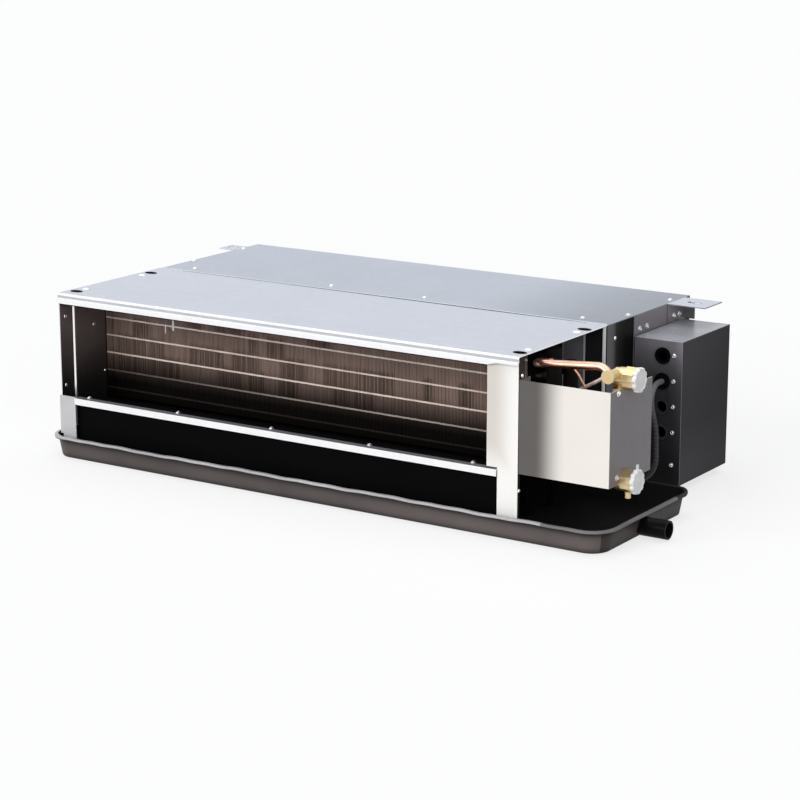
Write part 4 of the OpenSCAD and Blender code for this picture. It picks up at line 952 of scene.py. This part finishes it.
CAP_X0, CAP_R, SCALLOPS, SCALLOP_R, SCALLOP_AT = 870.7, 15.5, 10, 3.2, 17.2
CAP_SIDES, GRIP_FROM_R = 200, 14.0
CAP = [(1.0, 3.2), (13.45, 3.2), (13.45, 0.0), (15.2, 0.0), (CAP_R, 0.4), (CAP_R, 4.4), (15.2, 5.1), (14.6, 5.5),
       (12.6, 5.6), (12.1, 5.3), (11.8, 4.95), (4.0, 4.9), (3.4, 5.1), (1.0, 5.15)]
PULL_TAB = ((870.9, 42.0, 100.9), (873.0, 45.5, 107.4))


def scalloped(i, angle, r):
    """Cuts round finger grips into the cap's rim."""
    if r < GRIP_FROM_R:
        return r
    off = (angle + math.pi / SCALLOPS) % (2 * math.pi / SCALLOPS) - math.pi / SCALLOPS
    across = SCALLOP_AT * math.sin(off)
    if abs(across) >= SCALLOP_R:
        return r
    return min(r, SCALLOP_AT * math.cos(off) - math.sqrt(SCALLOP_R ** 2 - across ** 2) - (CAP_R - r))


def add_soft_box(bm, low, high, width, segments):
    """Adds a box with rounded edges."""
    box = bmesh.new()
    add_box(box, low, high)
    soften(box, width, segments)
    scrap = bpy.data.meshes.new("scrap")
    box.to_mesh(scrap)
    box.free()
    bm.from_mesh(scrap)
    bpy.data.meshes.remove(scrap)


for which, level in UNION_LEVELS.items():
    bm = skins(lathe_loops((CAP_X0, UNION_Y, level), RIGHT, CAP, CAP_SIDES, scalloped))
    if which == "lower":
        add_soft_box(bm, *PULL_TAB, 0.6, 3)
    piece("dust_cap_" + which, bm, "white_plastic", which + "_cap", ("cap_" + which,))

# Thin trim: seam, lugs, foam and rims at the lift slots, rivets, edges and seals, and a dark strip as painted shadow
# under the lip

random.seed(21)
SEAM_Y, SEAM_FROM, SEAM_LONG, SEAM_STEPS = 224.7, 1.0, 728.0, 40
SEAM = [(0.0, -0.15), (0.1, 0.5), (0.6, 0.95), (2.2, 1.0), (4.2, 0.65), (5.4, 0.1), (5.4, -0.15)]
loops = []
for k in range(SEAM_STEPS + 1):
    x = SEAM_FROM + SEAM_LONG * k / SEAM_STEPS
    tall = random.uniform(0.75, 1.15)
    loops.append([(x, SEAM_Y + dy, TOP_Z + (dz * tall if dz > 0 else dz)) for dy, dz in SEAM])
piece("seam_hem", skins(loops), "sheet_top", "casing")

# The gasket, a seal that also stands as the seam's painted shadow line, shows more or less beside the seam: place
# along X, width
GASKET = ((40, 0.5), (140, 0.7), (260, 1.3), (380, 2.4), (560, 2.8), (640, 1.6), (700, 0.5))
GASKET_LOW, GASKET_SIDE, GASKET_HIGH = 229.9, 230.1, 230.25
loops = []
for x, wide in GASKET:
    front, rear = SEAM_Y - wide, SEAM_Y + 0.1
    loops.append([(x, front, GASKET_LOW), (x, front, GASKET_SIDE), (x, SEAM_Y - wide * 0.4, GASKET_HIGH),
                  (x, rear, GASKET_HIGH), (x, rear, GASKET_LOW)])
piece("seam_gasket_and_shadow", skins(loops), "rubber", "casing")

LUG_HALF_X, LUG_HALF_Y, LUG_SIDES, LUG_OFF = 5.2, 4.6, 28, 20.0
LUG = [(1.0, -0.1), (0.98, 0.35), (0.86, 0.95), (0.62, 1.4), (0.3, 1.6), (0.08, 1.65)]
LUGS = [(x, y) for x in LIFT_X for y in (LIFT_Y[0] + LUG_OFF, LIFT_Y[1] - LUG_OFF)]
lugs = [[oval(x, y, TOP_Z + h, LUG_HALF_X * f, LUG_HALF_Y * f, LUG_SIDES) for f, h in LUG] for x, y in LUGS]
# The lugs are white as painted highlight.
piece("lift_lugs", skins(*lugs), "sheet_lip", "casing")

PAD_HALF_X, PAD_HALF_Y, SLOT_SIDES = 7.6, 4.4, 48
PAD = [(0.9, 224.6), (1.0, 225.1), (1.0, 228.6), (0.96, 228.9), (0.1, 228.95)]
pads = [[oval(x, y, z, PAD_HALF_X * f, PAD_HALF_Y * f, SLOT_SIDES) for f, z in PAD] for x, y in LIFT_SLOTS]
piece("slot_foam", skins(*pads), "foam", "casing")

SLOT_RIM = [(6.6, 3.3, -0.1), (9.4, 6.1, -0.1), (9.6, 6.3, 0.25), (9.2, 5.9, 0.65), (8.2, 4.9, 0.8), (7.2, 3.9, 0.65),
            (6.6, 3.3, 0.2)]
bm = bmesh.new()
for x, y in LIFT_SLOTS:
    loops = [oval(x, y, TOP_Z + h, half_x, half_y, SLOT_SIDES) for half_x, half_y, h in SLOT_RIM]
    add_loft(bm, loops + loops[:1], close_ends=False)
bmesh.ops.remove_doubles(bm, verts=bm.verts, dist=0.001)
piece("slot_rims", bm, "rubber", "casing")

RIVET = [(1.2, -2.0), (1.2, 0.0), (2.5, 0.0), (2.65, 0.35), (2.3, 0.95), (1.5, 1.3), (0.5, 1.42)]
RIVETS = [(0, 14.0, 195.5), (0, 11.5, 99), (6, 66.7, 176), (6, 88.0, 106), (POST_X1, 11.9, 204.8),
          (POST_X1, 6.8, 60.5), (RIGHT_X, 245.8, 209), (RIGHT_X, 245.8, 60)]
piece("side_rivets", skins(*[lathe_loops(at, RIGHT, RIVET, 24) for at in RIVETS]), "bright_edge", "casing")

LINER_BEAD = [(0.8, 29.0), (0.85, 28.1), (1.3, 27.75), (3.5, 28.95), (3.5, 29.0)]
LINER_LEVELS = (38.0, 80.0, 120.0, 160.0, 214.0)
piece("liner_edge", skins([[(x, y, z) for x, y in LINER_BEAD] for z in LINER_LEVELS]), "bright_edge", "casing")

# Soft strips: finish, rounding, boxes
STRIPS = {
    # The strip behind the lip's lower edge is dark foam that stands as painted shadow under the lip.
    "lip_seal": ("foam", 0.4, [((1.0, 1.0, 214.6), (683.0, 3.6, 221.5))]),
    "pan_seal": ("foam", 0.8, [((-1.0, 29.0, 1.6), (2.0, 222.0, 34.0))]),
    # the deck edge is white as painted highlight
    "deck_edge": ("sheet_lip", 0.25, [((726.3, 219.6, 36.0), (728.8, 221.0, 228.4)),
                                      ((728.0, 220.9, 36.0), (728.8, 223.8, 228.4))]),
}
for name, (finish, width, boxes) in STRIPS.items():
    bm = bmesh.new()
    for low, high in boxes:
        add_box(bm, low, high)
    soften(bm, width)
    piece(name, bm, finish, "casing")

# Plate on the fan deck with a pale edge at each side
bm = bmesh.new()
add_box(bm, (667.0, 222.6, 110.0), (697.0, 224.0, 227.6))
soften(bm, 0.5)
add_box(bm, (697.0, 222.0, 110.0), (698.6, 224.0, 227.6), 1)
add_box(bm, (666.2, 222.3, 110.0), (667.0, 224.0, 227.6), 1)
piece("deck_plate", bm, ["grey_plate", "sheet_side"], "casing")

# Floor, light and background

FLOOR_SIZE, FLOOR_BELOW = 80.0, 0.0005
FLOOR_BOUNCE, FLOOR_SEEN, FLOOR_GLOW = 0.4, 0.97, 0.72
WHITE = (1, 1, 1, 1)
WORLD_TINT, WORLD_STRENGTH = (0.93, 0.96, 1.0, 1), 0.18


def seen_rays(nodes, links):
    """1 for camera, glossy and transmission rays, and 0 for rays that carry bounced light."""
    path = nodes.new("ShaderNodeLightPath")
    seen = path.outputs["Is Camera Ray"]
    for kind in ("Is Glossy Ray", "Is Transmission Ray"):
        most = nodes.new("ShaderNodeMath")
        most.operation = "MAXIMUM"
        links.new(seen, most.inputs[0])
        links.new(path.outputs[kind], most.inputs[1])
        seen = most.outputs[0]
    return seen


def blend(nodes, links, out, share, plain, other):
    """Sends a blend of two shaders to the output; share is how much of the other one shows."""
    mix = nodes.new("ShaderNodeMixShader")
    for output, socket in zip((share, plain.outputs[0], other.outputs[0]), mix.inputs):
        links.new(output, socket)
    links.new(mix.outputs[0], out.inputs[0])


def floor_material():
    """Pale floor that reads white to the camera and to gloss, and keeps the shadow."""
    made = bpy.data.materials.new("studio_floor")
    made.use_nodes = True
    nodes, links = made.node_tree.nodes, made.node_tree.links
    nodes.clear()
    seen = seen_rays(nodes, links)
    tone = nodes.new("ShaderNodeMix")
    tone.data_type = "RGBA"
    tone.inputs[6].default_value = (FLOOR_BOUNCE, FLOOR_BOUNCE, FLOOR_BOUNCE, 1)
    tone.inputs[7].default_value = (FLOOR_SEEN, FLOOR_SEEN, FLOOR_SEEN, 1)
    links.new(seen, tone.inputs[0])
    shade = nodes.new("ShaderNodeBsdfDiffuse")
    links.new(tone.outputs[2], shade.inputs["Color"])
    glow = nodes.new("ShaderNodeEmission")
    glow.inputs["Color"].default_value = WHITE
    share = nodes.new("ShaderNodeMath")
    share.operation = "MULTIPLY"
    share.inputs[1].default_value = FLOOR_GLOW
    links.new(seen, share.inputs[0])
    blend(nodes, links, nodes.new("ShaderNodeOutputMaterial"), share.outputs[0], shade, glow)
    return made


floor_mesh = bpy.data.meshes.new("floor")
half = FLOOR_SIZE / 2
floor_mesh.from_pydata([(-half, -half, 0), (half, -half, 0), (half, half, 0), (-half, half, 0)], [], [(0, 1, 2, 3)])
floor_mesh.materials.append(floor_material())
floor = bpy.data.objects.new("floor", floor_mesh)
floor.location.z = -FLOOR_BELOW
bpy.context.scene.collection.objects.link(floor)


def studio_world():
    """A dim pale blue light all around, which the camera and gloss see as white."""
    world = bpy.data.worlds.new("studio")
    world.use_nodes = True
    nodes, links = world.node_tree.nodes, world.node_tree.links
    nodes.clear()
    grounds = []
    for colour, strength in ((WORLD_TINT, WORLD_STRENGTH), (WHITE, 1.0)):
        ground = nodes.new("ShaderNodeBackground")
        ground.inputs["Color"].default_value = colour
        ground.inputs["Strength"].default_value = strength
        grounds.append(ground)
    blend(nodes, links, nodes.new("ShaderNodeOutputWorld"), seen_rays(nodes, links), *grounds)
    return world


bpy.context.scene.world = studio_world()


def soft_sun(name, come_from, strength, spread, colour=(1, 1, 1)):
    """An even, soft light from one side, like a large far softbox."""
    data = bpy.data.lights.new(name, "SUN")
    data.energy = strength
    data.angle = math.radians(spread)
    data.color = colour
    lamp = bpy.data.objects.new(name, data)
    lamp.rotation_euler = (-Vector(come_from)).to_track_quat("-Z", "Y").to_euler()
    bpy.context.scene.collection.objects.link(lamp)


soft_sun("key", (-0.45, -0.85, 0.42), 1.5, 40)
soft_sun("fill", (0.62, -0.72, 0.36), 1.35, 50)
soft_sun("top", (-0.1, 0.1, 1.0), 1.45, 70, (0.96, 0.975, 1.0))
